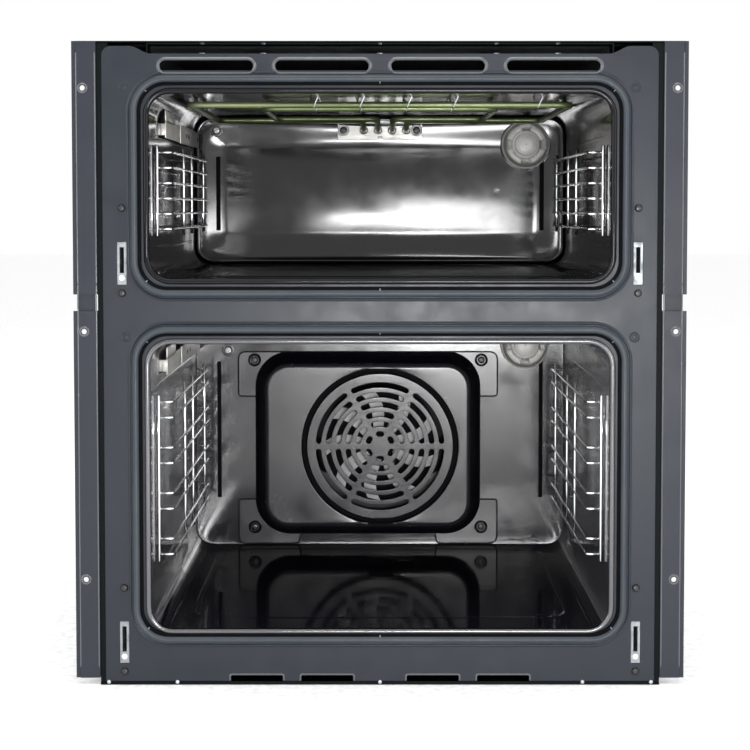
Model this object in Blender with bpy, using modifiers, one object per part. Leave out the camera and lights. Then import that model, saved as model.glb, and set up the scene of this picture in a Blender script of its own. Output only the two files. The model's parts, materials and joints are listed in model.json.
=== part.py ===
"""Built-in double wall oven with its doors lifted off, as separate named pieces.

Metres, +Z up, the open front faces -Y, X runs across. The origin is on the floor under the
middle of the whole oven. Depths marked "depth" are measured back from the front frame's face.
"""

import math

import bmesh
import bpy
from mathutils import Matrix, Vector

# --- Overall box ------------------------------------------------------------------------
OVERALL_WIDTH = 0.594
OVERALL_HEIGHT = 0.626
OVERALL_DEPTH = 0.550
FIT = 0.0003            # gap left between pieces that touch
SHEET = 0.0012          # painted and galvanised casing sheet
ENAMEL = 0.0014         # enamelled cavity sheet

# --- Side trims, which cover the cabinet's edges --------------------------------------------
TRIM_FACE = 0.0235      # visible width
TRIM_LIP = 0.0045       # stepped outer lip
TRIM_RETURN = 0.025     # leg folded back along the casing
TRIM_BOTTOM = 0.0066
TRIM_SPLIT = 0.366      # top of the lower trim's full width
TRIM_BREAK = 0.016      # gap between the trims, bridged by the tongue
TONGUE_OVERLAP = 0.020
TONGUE_INSET = 0.0012   # tongue stands in from the trim's folded edge
TONGUE_WIDTH = 0.0187
TONGUE_SEAT = 0.012     # height over which the tongue is joined to the lower trim
TRIM_HOLE = 0.0026      # radius
TRIM_HOLE_INSET = 0.0104
UPPER_TRIM_HOLE_DROP = 0.045
LOWER_TRIM_HOLES = (0.1036, 0.346)

# --- Front frame ------------------------------------------------------------------------
POST_GAP = 0.0055       # dark gap between a trim and the frame
FRAME_BOTTOM = 0.0033
FRAME_TOP_DROP = 0.0121
EAR_RISE = 0.0073
EAR_WIDTH = 0.0265
EAR_SLOPE = 0.0213
EAR_RADIUS = 0.009
STILE = 0.027           # frame edge to the door seal
HEADER = 0.0201         # frame top to the upper seal
MID_RAIL = 0.0272       # between the two seals
SILL = 0.0375           # frame bottom to the lower seal

VENT_LENGTH = 0.091
VENT_HEIGHT = 0.012
VENT_DROP = 0.0119      # frame top down to the vent's centre line
VENT_CENTRES = (0.0558, 0.167)
NOTCH_LENGTH = 0.051
NOTCH_HEIGHT = 0.0057
NOTCH_CENTRES = (0.0516, 0.1204)

# --- Door seals and cavities --------------------------------------------------------------
SEAL_WIDTH = 0.0105
SEAL_PROUD = 0.006
SEAL_RADIUS = 0.035
LIP_CLEAR = 0.0030      # seal's inner edge to the cavity lip
LIP_ROLL = 0.0037
CAVITY_RADIUS = 0.022
UPPER_BACK_RADIUS = 0.006
LOWER_BACK_RADIUS = 0.002
LOWER_FLOOR_DROP = 0.0035  # the lower floor lies nearer its seal than the other walls
UPPER_SEAL_HEIGHT = 0.2146
INSULATION = 0.018
ROOF_INSULATION = 0.0095
REAR_BAY = 0.120        # machinery space between the insulation and the rear panel
INSULATION_SETBACK = 0.012

# --- Door hinge receivers -----------------------------------------------------------------
RECEIVER_WIDTH = 0.0085
RECEIVER_HEIGHT = 0.0406
RECEIVER_INSET = 0.0184  # frame edge to the receiver's centre line
RECEIVER_SLOT_WIDTH = 0.0042
RECEIVER_SLOT_HEIGHT = 0.025
RECEIVER_SLOT_RISE = 0.0110
RECEIVER_DEPTH = 0.055
UPPER_RECEIVER_RISE = 0.0126  # above the mid rail's lower line
LOWER_RECEIVER_RISE = 0.0182  # above the frame's bottom
SCREW_BELOW = 0.0085
SCREW_ABOVE = 0.0332
SCREW_HEAD = 0.00375    # radius
SCREW_HEAD_HEIGHT = 0.0022
SCREW_SHANK = 0.0018    # radius
SCREW_LENGTH = 0.009
INNER_SCREW_HEAD = 0.0045   # radius, on the fan cover and the terminal plate
INNER_SCREW_LENGTH = 0.010
HOLE_CLEARANCE = 0.0004  # radial, between a shank and its hole

# --- Wire racks ---------------------------------------------------------------------------
RACK_POST = 0.0017      # wire radius
RACK_RUNG = 0.0013      # wire radius
RACK_WALL_GAP = 0.0034  # post's centre line to the cavity wall
RACK_REACH = 0.018      # cavity wall to a rung's long run
RACK_FRONT = 0.042
RACK_POST_DEPTHS = (0.116, 0.191)  # back from the rack's front
RACK_LAST_POST = 0.018  # in from the rack's rear end
RACK_CLEAR = 0.001      # rack's rear end to the plane of the fan cover's face
UPPER_RACK_TOP_DROP = 0.0496
UPPER_RUNGS = 6
UPPER_RUNG_PITCH = 0.0152
LOWER_RACK_TOP_DROP = 0.0555
LOWER_RUNG_PAIRS = 4
LOWER_PAIR_PITCH = 0.0458
LOWER_PAIR_GAP = 0.0157
RACK_END = 0.0065       # post end beyond the outermost rung

# --- Fan cover in the lower cavity -------------------------------------------------------------
COVER_WIDTH = 0.314
COVER_HEIGHT = 0.234
COVER_SHIFT = -0.0147   # cover's centre from the fan axis
COVER_LAMP_GAP = 0.0035
COVER_FACE_WIDTH = 0.242
COVER_FACE_HEIGHT = 0.192
COVER_FACE_RISE = 0.0063  # face centre above the flange centre
COVER_PROUD = 0.027
COVER_DRAFT = 0.0115
COVER_FACE_RADIUS = 0.027
COVER_SHEET = 0.001
COVER_RISE = 0.0005     # above the rounded edge between floor and back wall
COVER_SCREW_INSET = 0.0195
COVER_SCREW_TOP_INSET = 0.010
COVER_SCREW_BOTTOM_INSET = 0.020
COVER_TAB = 0.054       # height of a corner tab
COVER_FOOT_GAP = 0.160  # width of the gap between the two bottom tabs
COVER_CORNER = 0.012
FAN_ABOVE_COVER_CENTRE = 0.0055
GRILLE_RINGS = 6
GRILLE_OUTER = 0.077
GRILLE_PITCH = 0.0118
GRILLE_SLOT = 0.006
GRILLE_SECTORS = 6
GRILLE_WEB = 0.0066
FAN_CLEAR = 0.004       # fan's blades to the inside of the cover

# --- Fans, heating elements, lamps -----------------------------------------------------------
FAN_RADIUS = 0.068
FAN_BLADES = 10
FAN_DEPTH = 0.013
FAN_HUB = 0.014
SHAFT = 0.003           # radius
SHAFT_CLEAR = 0.0005    # radial, in the motor's bore
SHAFT_END_GAP = 0.002
SHAFT_HOLE = 0.007
MOTOR_RADIUS = 0.033
MOTOR_LENGTH = 0.045
MOTOR_BORE = 0.016      # depth of a motor's blind shaft bore
RING_RADIUS = 0.084
TUBE = 0.0032           # element tube radius
COOLING_RADIUS = 0.042
COOLING_HEIGHT = 0.018
COOLING_BLADES = 14
COOLING_HUB = 0.012
COOLING_MOTOR_RADIUS = 0.026
COOLING_MOTOR_LENGTH = 0.036
DUCT_MARGIN = 0.0125    # outermost vent's end to the duct's side
DUCT_REAR_GAP = 0.004
INLET_RADIUS = 0.020
ROTOR_CLEAR = 0.003     # cooling rotor above the duct's floor
DUCT_FLOOR_GAP = 0.0015
LAMP_WALL_GAP = 0.0488  # side wall to the lamp's centre
UPPER_LAMP_GAP = 0.0065  # ceiling to the glass
LOWER_LAMP_GAP = 0.0058
LAMP_COVER_RADIUS = 0.029
LAMP_COVER_DEPTH = 0.016
LAMP_HOLDER = 0.021
LAMP_HOLDER_DEPTH = 0.036
LAMP_CUP_DEPTH = 0.014  # hollow of the holder behind the wall
TERMINAL_PLATE = (0.102, 0.023)
TERMINAL_PITCH = 0.017
TERMINAL_SHIFT = 0.006  # middle of the four tails from the oven's middle
TERMINAL_SHEET = 0.0015
TERMINAL_SCREW_INSET = 0.007
TERMINAL_DROP = 0.018   # cavity ceiling to the plate's centre line
BLOCK_SIZE = (0.060, 0.028, 0.040)  # mains terminal block
BLOCK_RIM = 0.006       # block edge hidden behind the rear panel
BLOCK_SIDE_GAP = 0.025
BLOCK_RISE = 0.040
BLOCK_CLAMPS = 5
GRILL_DROP = 0.0085     # ceiling to the grill tubes' centre line
GRILL_OUTER_GAPS = (0.0338, 0.055, 0.045)   # side walls, frame face and back wall to the loop
GRILL_INNER_GAPS = (0.1038, 0.120, 0.075)
BASE_GAPS = (0.0438, 0.060, 0.030)
BASE_FOLD = 0.090       # half the width between the base element's inner runs
TAIL_END = 0.012        # element tail beyond the insulation
TAIL_HOLE = 0.001       # radial, between a tail and its hole
GUARD_HEIGHT = 0.018
GUARD_STANDOFF = 0.005  # strip's outer face to the cavity wall
GUARD_FOOT = 0.010
GUARD_FRONT = 0.090
GUARD_TAB = (0.070, 0.010)  # length, rise

# --- Worked-out places --------------------------------------------------------------------
FACE = -OVERALL_DEPTH / 2 + SEAL_PROUD
REAR = OVERALL_DEPTH / 2
CASING = OVERALL_WIDTH / 2 - TRIM_FACE - FIT
FRAME_HALF = OVERALL_WIDTH / 2 - TRIM_FACE - POST_GAP
FRAME_TOP = OVERALL_HEIGHT - FRAME_TOP_DROP
SEAL_HALF = FRAME_HALF - STILE
CAVITY_HALF = SEAL_HALF - SEAL_WIDTH - LIP_CLEAR - LIP_ROLL
LAMP_X = CAVITY_HALF - LAMP_WALL_GAP
SEAL_TO_CAVITY = SEAL_HALF - CAVITY_HALF
UPPER_SEAL = (FRAME_TOP - HEADER - UPPER_SEAL_HEIGHT, FRAME_TOP - HEADER)
LOWER_SEAL = (FRAME_BOTTOM + SILL, UPPER_SEAL[0] - MID_RAIL)
UPPER = (UPPER_SEAL[0] + SEAL_TO_CAVITY, UPPER_SEAL[1] - SEAL_TO_CAVITY)
LOWER = (LOWER_SEAL[0] + SEAL_TO_CAVITY - LOWER_FLOOR_DROP, LOWER_SEAL[1] - SEAL_TO_CAVITY)
BACK = REAR - SHEET - REAR_BAY - INSULATION - FIT - ENAMEL   # cavity back wall, inner face
BAY = BACK + ENAMEL + FIT + INSULATION                       # front of the machinery space
RECEIVER_X = FRAME_HALF - RECEIVER_INSET
UPPER_RECEIVER = UPPER_SEAL[0] + UPPER_RECEIVER_RISE
LOWER_RECEIVER = FRAME_BOTTOM + LOWER_RECEIVER_RISE
COVER_BOTTOM = LOWER[0] + LOWER_BACK_RADIUS + COVER_RISE
COVER_X = min(COVER_SHIFT, LAMP_X - LAMP_COVER_RADIUS - COVER_LAMP_GAP - COVER_WIDTH / 2)
COVER_Z = COVER_BOTTOM + COVER_HEIGHT / 2
COVER_BACK = BACK - FIT                                      # flange's rear face
COVER_INSIDE = COVER_BACK - COVER_PROUD                      # raised panel's rear face
RACK_REAR = COVER_INSIDE - COVER_SHEET - RACK_RUNG - RACK_CLEAR
FAN_Z = COVER_Z + FAN_ABOVE_COVER_CENTRE
FAN_DISC = COVER_INSIDE + FAN_CLEAR + FAN_DEPTH              # front of the fan's backing disc
LAMPS = {"upper": UPPER[1] - UPPER_LAMP_GAP - LAMP_COVER_RADIUS,
         "lower": LOWER[1] - LOWER_LAMP_GAP - LAMP_COVER_RADIUS}
DUCT_BOTTOM = UPPER[1] + ENAMEL + FIT + ROOF_INSULATION + DUCT_FLOOR_GAP
DUCT_TOP = OVERALL_HEIGHT - SHEET - 2 * FIT
DUCT_HALF = VENT_CENTRES[1] + VENT_LENGTH / 2 + DUCT_MARGIN
COOLING_Y = REAR - SHEET - REAR_BAY / 2
ROTOR_DISC = DUCT_BOTTOM + SHEET + ROTOR_CLEAR

for leftover in list(bpy.data.objects):
    bpy.data.objects.remove(leftover)

PARTS = bpy.data.collections.new("wall_oven")
CUTTERS = bpy.data.collections.new("cutters")
for group in (PARTS, CUTTERS):
    bpy.context.scene.collection.children.link(group)


# --- Materials --------------------------------------------------------------------------------
def material(name, colour, roughness, metallic=0.0, alpha=1.0):
    made = bpy.data.materials.new(name)
    made.use_nodes = True
    shader = made.node_tree.nodes["Principled BSDF"]
    shader.inputs["Base Color"].default_value = (*colour, 1.0)
    shader.inputs["Roughness"].default_value = roughness
    shader.inputs["Metallic"].default_value = metallic
    shader.inputs["Alpha"].default_value = alpha
    return made


PAINT = material("grey_paint", (0.075, 0.08, 0.09), 0.45)
SILICONE = material("seal_silicone", (0.04, 0.055, 0.065), 0.5)
BLACK_ENAMEL = material("black_enamel", (0.006, 0.006, 0.008), 0.08)
CHROME = material("chrome_wire", (0.75, 0.75, 0.75), 0.15, 1.0)
ZINC = material("zinc_plate", (0.75, 0.78, 0.8), 0.35, 1.0)
GALVANISED = material("galvanised_sheet", (0.5, 0.52, 0.53), 0.4, 1.0)
STAINLESS = material("stainless_plate", (0.5, 0.49, 0.47), 0.3, 1.0)
DARK_SCREW = material("dark_screw", (0.03, 0.03, 0.03), 0.35, 1.0)
ELEMENT = material("element_tube", (0.09, 0.12, 0.06), 0.45, 0.6)
GLASS = material("lamp_glass", (0.55, 0.54, 0.5), 0.15, 0.0, 0.6)
CERAMIC = material("lamp_ceramic", (0.7, 0.68, 0.62), 0.6)
FLEECE = material("mineral_fleece", (0.6, 0.55, 0.42), 0.95)
MOTOR_STEEL = material("motor_steel", (0.3, 0.31, 0.32), 0.4, 1.0)
TERMINALS = material("terminal_plastic", (0.02, 0.02, 0.02), 0.5)


# --- Shape tools ------------------------------------------------------------------------------
def add_box(mesh, low, high):
    low, high = Vector(low), Vector(high)
    place = Matrix.Translation((low + high) / 2) @ Matrix.Diagonal((*(high - low), 1))
    bmesh.ops.create_cube(mesh, size=1, matrix=place)


def add_cylinder(mesh, centre, radius, length, axis="Y", segments=16):
    turn = {"X": Matrix.Rotation(math.pi / 2, 4, "Y"), "Y": Matrix.Rotation(math.pi / 2, 4, "X"),
            "Z": Matrix.Identity(4)}[axis]
    bmesh.ops.create_cone(mesh, cap_ends=True, segments=segments, radius1=radius,
                          radius2=radius, depth=length, matrix=Matrix.Translation(centre) @ turn)


def add_prism(mesh, outline, start, end):
    """A closed (x, z) outline, anticlockwise seen from the front, run from y=start to y=end."""
    face = mesh.faces.new([mesh.verts.new((x, start, z)) for x, z in outline])
    moved = bmesh.ops.extrude_face_region(mesh, geom=[face])["geom"]
    bmesh.ops.translate(mesh, vec=(0, end - start, 0),
                        verts=[item for item in moved if isinstance(item, bmesh.types.BMVert)])


def add_column(mesh, outline, low, high):
    """A closed (x, y) outline run from z=low to z=high."""
    face = mesh.faces.new([mesh.verts.new((x, y, low)) for x, y in outline])
    moved = bmesh.ops.extrude_face_region(mesh, geom=[face])["geom"]
    bmesh.ops.translate(mesh, vec=(0, 0, high - low),
                        verts=[item for item in moved if isinstance(item, bmesh.types.BMVert)])


def rounded(x0, x1, z0, z1, radius, steps=6):
    """A rounded rectangle, anticlockwise seen from the front."""
    corners = ((x1 - radius, z0 + radius, -90), (x1 - radius, z1 - radius, 0),
               (x0 + radius, z1 - radius, 90), (x0 + radius, z0 + radius, 180))
    outline = []
    for x, z, first in corners:
        for step in range(steps + 1):
            angle = math.radians(first + 90 * step / steps)
            outline.append((x + radius * math.cos(angle), z + radius * math.sin(angle)))
    return outline


def circle(x, z, radius, steps=16):
    turns = [math.tau * step / steps for step in range(steps)]
    return [(x + radius * math.cos(turn), z + radius * math.sin(turn)) for turn in turns]


def link(name, data, finish, group=PARTS):
    piece = bpy.data.objects.new(name, data)
    group.objects.link(piece)
    if finish:
        data.materials.append(finish)
    return piece


def solid(name, mesh, finish, group=PARTS):
    bmesh.ops.recalc_face_normals(mesh, faces=mesh.faces)
    data = bpy.data.meshes.new(name)
    mesh.to_mesh(data)
    mesh.free()
    return link(name, data, finish, group)


def box(name, low, high, finish):
    mesh = bmesh.new()
    add_box(mesh, low, high)
    return solid(name, mesh, finish)


def flat(name, outlines, middle, thickness, finish, upright=True):
    """A plate from a filled outline with holes: in the XZ plane if upright, or else in XY."""
    curve = bpy.data.curves.new(name, "CURVE")
    curve.dimensions = "2D"
    curve.fill_mode = "BOTH"
    curve.extrude = thickness / 2
    for outline in outlines:
        spline = curve.splines.new("POLY")
        spline.points.add(len(outline) - 1)
        for point, (u, v) in zip(spline.points, outline):
            point.co = (u, v, 0, 1)
        spline.use_cyclic_u = True
    piece = link(name, curve, finish)
    if upright:
        piece.rotation_euler = (math.pi / 2, 0, 0)
        piece.location = (0, middle, 0)
    else:
        piece.location = (0, 0, middle)
    return piece


def wire(name, runs, radius, finish, cyclic=False, resolution=2):
    curve = bpy.data.curves.new(name, "CURVE")
    curve.dimensions = "3D"
    curve.bevel_depth = radius
    curve.bevel_resolution = resolution
    curve.use_fill_caps = not cyclic
    for run in runs:
        spline = curve.splines.new("POLY")
        spline.points.add(len(run) - 1)
        for point, place in zip(spline.points, run):
            point.co = (*place, 1)
        spline.use_cyclic_u = cyclic
    return link(name, curve, finish)


def as_mesh(piece):
    """Replaces a curve object with the closed mesh that it makes."""
    bpy.context.view_layer.update()
    evaluated = piece.evaluated_get(bpy.context.evaluated_depsgraph_get())
    data = bpy.data.meshes.new_from_object(evaluated)
    mesh = bmesh.new()
    mesh.from_mesh(data)
    bmesh.ops.remove_doubles(mesh, verts=mesh.verts, dist=0.00001)
    bmesh.ops.recalc_face_normals(mesh, faces=mesh.faces)
    mesh.to_mesh(data)
    mesh.free()
    name, place, group = piece.name, piece.matrix_world.copy(), piece.users_collection[0]
    bpy.data.objects.remove(piece)
    made = bpy.data.objects.new(name, data)
    group.objects.link(made)
    made.matrix_world = place
    return made


def turned(name, profile, centre, finish, toward="front", steps=16, group=PARTS):
    """A turned piece. The profile is (radius, height) pairs that run down its outer side; its
    height runs toward the front, or up."""
    data = bpy.data.meshes.new(name)
    mesh = bmesh.new()
    points = [mesh.verts.new((radius, 0, height)) for radius, height in profile]
    for first, second in zip(points, points[1:]):
        mesh.edges.new((first, second))
    mesh.to_mesh(data)
    mesh.free()
    piece = link(name, data, finish, group)
    piece.location = centre
    if toward == "front":
        piece.rotation_euler = (math.pi / 2, 0, 0)
    screw = piece.modifiers.new("turn", "SCREW")
    screw.steps = screw.render_steps = steps
    screw.use_merge_vertices = True
    screw.merge_threshold = 0.00002
    screw.use_smooth_shade = True
    return piece


def smooth(piece, angle=35):
    piece.data.shade_smooth()
    piece.data.set_sharp_from_angle(angle=math.radians(angle))
    return piece


def combine(piece, tool, operation):
    tool.display_type = "WIRE"
    tool.hide_render = True
    for group in tool.users_collection:
        group.objects.unlink(tool)
    CUTTERS.objects.link(tool)
    step = piece.modifiers.new(tool.name, "BOOLEAN")
    step.operation = operation
    step.object = tool
    return piece


def cut(piece, mesh):
    return combine(piece, solid(piece.name + "_cut", mesh, None), "DIFFERENCE")


def fuse(piece, mesh):
    return combine(piece, solid(piece.name + "_join", mesh, None), "UNION")


def pivot_at(piece, point):
    """Puts a mesh object's origin on its joint's axis."""
    piece.data.transform(Matrix.Translation(-Vector(point)))
    piece.location = point
    return piece


def bend(points, radius, steps=4):
    """A route with each corner rounded by an arc-like curve of this radius."""
    points = [Vector(point) for point in points]
    route = [points[0]]
    for before, corner, after in zip(points, points[1:], points[2:]):
        start = corner + (before - corner).normalized() * radius
        end = corner + (after - corner).normalized() * radius
        for step in range(steps + 1):
            t = step / steps
            route.append(start * (1 - t) ** 2 + corner * 2 * t * (1 - t) + end * t ** 2)
    route.append(points[-1])
    return route


# --- Casing ----------------------------------------------------------------------------------
def side_panels():
    """C-section sheet sides with flanges turned in at the front and the rear."""
    front, rear = FACE + SHEET + FIT, REAR - SHEET - FIT
    bottom, top = SHEET + FIT, OVERALL_HEIGHT - SHEET - FIT
    inner = CASING - SHEET
    front_flange, rear_flange = 0.011, 0.015
    half = [(CASING, front), (CASING, rear), (CASING - rear_flange, rear),
            (CASING - rear_flange, rear - SHEET), (inner, rear - SHEET),
            (inner, front + SHEET), (CASING - front_flange, front + SHEET),
            (CASING - front_flange, front)]
    for name, side in (("side_panel_left", -1), ("side_panel_right", 1)):
        outline = [(side * x, y) for x, y in half]
        flat(name, [outline], (bottom + top) / 2, top - bottom, GALVANISED, upright=False)


def top_panel():
    """Roof sheet with two rows of air slots over the machinery space."""
    panel = box("top_panel", (-CASING, FACE, OVERALL_HEIGHT - SHEET), (CASING, REAR - SHEET - FIT, OVERALL_HEIGHT),
                GALVANISED)
    holes = bmesh.new()
    rows, pitch, length, width, centre = 5, 0.012, 0.060, 0.004, 0.140
    for row in range(rows):
        y = COOLING_Y + (row - (rows - 1) / 2) * pitch
        for x in (-centre, centre):
            add_box(holes, (x - length / 2, y - width / 2, DUCT_TOP),
                    (x + length / 2, y + width / 2, OVERALL_HEIGHT + SHEET))
    cut(panel, holes)


def base_panel():
    """Floor sheet with a low upstand that shows under the frame's bottom edge."""
    panel = box("base_panel", (-CASING, FACE, 0), (CASING, REAR - SHEET - FIT, SHEET), GALVANISED)
    lip = bmesh.new()
    add_box(lip, (-FRAME_HALF, FACE, SHEET / 2), (FRAME_HALF, FACE + SHEET, FRAME_BOTTOM - FIT))
    fuse(panel, lip)


def terminal_place():
    """Low corner of the mains terminal block, which sits behind an opening in the rear panel."""
    return CASING - BLOCK_SIZE[0] - BLOCK_SIDE_GAP, BLOCK_RISE


def rear_panel():
    """Back sheet with rows of air slots and the opening for the mains terminals."""
    outlines = [[(-CASING, 0), (CASING, 0), (CASING, OVERALL_HEIGHT), (-CASING, OVERALL_HEIGHT)]]
    columns, rows, column_pitch, row_pitch = 4, 5, 0.075, 0.014
    length, height = 0.050, 0.005
    for column in range(columns):
        x = (column - (columns - 1) / 2) * column_pitch
        for row in range(rows):
            z = LOWER[1] + row * row_pitch
            outlines.append(rounded(x - length / 2, x + length / 2, z, z + height, height * 0.3, 1))
    x, z = terminal_place()
    outlines.append(rounded(x + BLOCK_RIM, x + BLOCK_SIZE[0] - BLOCK_RIM, z + BLOCK_RIM,
                            z + BLOCK_SIZE[2] - BLOCK_RIM, BLOCK_RIM / 2, 1))
    flat("rear_panel", outlines, REAR - SHEET / 2, SHEET, GALVANISED)


def terminal_block():
    """Mains terminal block: a moulded block with a row of clamp screws and no cord."""
    x, z = terminal_place()
    width, depth, height = BLOCK_SIZE
    rear = REAR - SHEET - FIT
    block = box("mains_terminal_block", (x, rear - depth, z), (x + width, rear, z + height), TERMINALS)
    clamps = bmesh.new()
    pitch = (width - 2 * BLOCK_RIM) / BLOCK_CLAMPS
    for index in range(BLOCK_CLAMPS):
        centre = (x + BLOCK_RIM + (index + 0.5) * pitch, rear - 0.001, z + height / 2)
        add_cylinder(clamps, centre, pitch * 0.35, 2 * SHEET + 0.001, "Y", 8)
    fuse(block, clamps)


# --- Front frame, trims and receivers -------------------------------------------------------------
def frame_outline():
    """The frame's edge: raised ears at both top corners, with an S-curve down to the header."""
    ear = FRAME_TOP + EAR_RISE
    right = [(FRAME_HALF, FRAME_BOTTOM)]
    for step in range(7):
        angle = math.radians(90 * step / 6)
        right.append((FRAME_HALF - EAR_RADIUS + EAR_RADIUS * math.cos(angle),
                      ear - EAR_RADIUS + EAR_RADIUS * math.sin(angle)))
    for step in range(9):
        t = step / 8
        drop = (1 - math.cos(math.pi * t)) / 2
        right.append((FRAME_HALF - EAR_WIDTH - EAR_SLOPE * t, ear - EAR_RISE * drop))
    return right + [(-x, z) for x, z in reversed(right)]


def seal_outline(seal, inset, steps=8):
    half = SEAL_HALF - inset
    return rounded(-half, half, seal[0] + inset, seal[1] - inset, SEAL_RADIUS - inset, steps)


def receiver_screws(low):
    return (low - SCREW_BELOW, low + RECEIVER_HEIGHT + SCREW_ABOVE)


def front_frame():
    outlines = [frame_outline()]
    lip = LIP_ROLL + FIT
    for low, high in (UPPER, LOWER):
        outlines.append(rounded(-CAVITY_HALF - lip, CAVITY_HALF + lip, low - lip, high + lip,
                                CAVITY_RADIUS - lip / 2, 6))
    for side in (-1, 1):
        for centre in VENT_CENTRES:
            x, z = side * centre, FRAME_TOP - VENT_DROP
            outlines.append(rounded(x - VENT_LENGTH / 2, x + VENT_LENGTH / 2, z - VENT_HEIGHT / 2,
                                    z + VENT_HEIGHT / 2, VENT_HEIGHT * 0.49, 3))
        for low in (UPPER_RECEIVER, LOWER_RECEIVER):
            x = side * RECEIVER_X
            reach = RECEIVER_WIDTH / 2 + FIT
            outlines.append([(x - reach, low - FIT), (x + reach, low - FIT),
                             (x + reach, low + RECEIVER_HEIGHT + FIT), (x - reach, low + RECEIVER_HEIGHT + FIT)])
            for z in receiver_screws(low):
                outlines.append(circle(x, z, SCREW_SHANK + HOLE_CLEARANCE, 8))
    frame = as_mesh(flat("front_frame", outlines, FACE + SHEET / 2, SHEET, PAINT))
    notches = bmesh.new()
    for side in (-1, 1):
        for centre in NOTCH_CENTRES:
            x = side * centre
            add_box(notches, (x - NOTCH_LENGTH / 2, FACE - SHEET, FRAME_BOTTOM - SHEET),
                    (x + NOTCH_LENGTH / 2, FACE + 2 * SHEET, FRAME_BOTTOM + NOTCH_HEIGHT))
    cut(frame, notches)


def trim_section(side):
    """(x, y) section of a trim: folded leg, face, and a lip stepped back at the outer edge."""
    inner, outer = OVERALL_WIDTH / 2 - TRIM_FACE, OVERALL_WIDTH / 2
    step = outer - TRIM_LIP
    half = [(inner, FACE), (step, FACE), (step + SHEET, FACE + SHEET), (outer, FACE + SHEET),
            (outer, FACE + 2 * SHEET), (step, FACE + 2 * SHEET), (step - SHEET / 2, FACE + SHEET),
            (inner + SHEET, FACE + SHEET), (inner + SHEET, FACE + TRIM_RETURN),
            (inner, FACE + TRIM_RETURN)]
    return [(side * x, y) for x, y in half]


def trim(name, side, bottom, top, holes, tongue):
    """One side trim. The lower one has a narrow tongue that tucks behind the upper one."""
    section = bmesh.new()
    add_column(section, trim_section(side), bottom, top)
    strip = solid(name, section, PAINT)
    if tongue:
        inner = OVERALL_WIDTH / 2 - TRIM_FACE + SHEET + TONGUE_INSET
        sides = sorted((side * inner, side * (inner + TONGUE_WIDTH - TONGUE_INSET)))
        front, rear = FACE + 2 * SHEET + FIT, FACE + 3 * SHEET + FIT
        joggle, seat = bmesh.new(), bmesh.new()
        add_box(joggle, (sides[0], front, top - TONGUE_SEAT), (sides[1], rear, top + TRIM_BREAK + TONGUE_OVERLAP))
        add_box(seat, (sides[0] + FIT, FACE + SHEET / 2, top - TONGUE_SEAT + FIT),
                (sides[1] - SHEET, front + SHEET / 2, top - FIT))
        fuse(strip, joggle)
        fuse(strip, seat)
    drill = bmesh.new()
    for z in holes:
        add_cylinder(drill, (side * (OVERALL_WIDTH / 2 - TRIM_HOLE_INSET), FACE, z), TRIM_HOLE, 0.02, "Y", 12)
    cut(strip, drill)


def trims():
    for label, side in (("left", -1), ("right", 1)):
        trim("lower_trim_" + label, side, TRIM_BOTTOM, TRIM_SPLIT, LOWER_TRIM_HOLES, True)
        trim("upper_trim_" + label, side, TRIM_SPLIT + TRIM_BREAK, OVERALL_HEIGHT,
             (OVERALL_HEIGHT - UPPER_TRIM_HOLE_DROP,), False)


def hinge_receivers():
    """Zinc brackets behind the frame. Each shows a slotted face that takes a door hinge's arm."""
    flange, reach, end = FACE + SHEET + FIT, 0.0075, 0.0055
    channel_half, channel_inset = 0.005, 0.001
    for level, low in (("upper", UPPER_RECEIVER), ("lower", LOWER_RECEIVER)):
        for label, side in (("left", -1), ("right", 1)):
            x, (first, last) = side * RECEIVER_X, receiver_screws(low)
            name = f"{level}_hinge_receiver_{label}"
            bracket = box(name, (x - reach, flange, first - end), (x + reach, flange + SHEET, last + end), ZINC)
            face, channel = bmesh.new(), bmesh.new()
            add_box(face, (x - RECEIVER_WIDTH / 2, FACE, low),
                    (x + RECEIVER_WIDTH / 2, flange + SHEET / 2, low + RECEIVER_HEIGHT))
            add_box(channel, (x - channel_half, flange + SHEET / 2, low + channel_inset),
                    (x + channel_half, FACE + RECEIVER_DEPTH, low + RECEIVER_HEIGHT - channel_inset))
            fuse(bracket, face)
            fuse(bracket, channel)
            hollow = bmesh.new()
            slot = low + RECEIVER_SLOT_RISE
            add_box(hollow, (x - RECEIVER_SLOT_WIDTH / 2, FACE - 0.002, slot),
                    (x + RECEIVER_SLOT_WIDTH / 2, FACE + RECEIVER_DEPTH + 0.002, slot + RECEIVER_SLOT_HEIGHT))
            for z in (first, last):
                add_cylinder(hollow, (x, flange, z), SCREW_SHANK + HOLE_CLEARANCE, 0.01, "Y", 10)
            cut(bracket, hollow)


def screw(name, x, y, z, head=SCREW_HEAD, length=SCREW_LENGTH):
    """A pan-head screw whose head rests on the face at y, with a drive recess."""
    rise = SCREW_HEAD_HEIGHT
    profile = [(0, rise * 0.5), (head * 0.4, rise), (head * 0.8, rise * 0.85), (head, 0), (SCREW_SHANK, 0),
               (SCREW_SHANK, -length), (0, -length)]
    turned(name, profile, (x, y - FIT, z), DARK_SCREW, steps=10)


def frame_screws():
    for level, low in (("upper", UPPER_RECEIVER), ("lower", LOWER_RECEIVER)):
        for label, side in (("left", -1), ("right", 1)):
            for place, z in zip(("bottom", "top"), receiver_screws(low)):
                screw(f"{level}_{label}_receiver_screw_{place}", side * RECEIVER_X, FACE, z)


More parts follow.
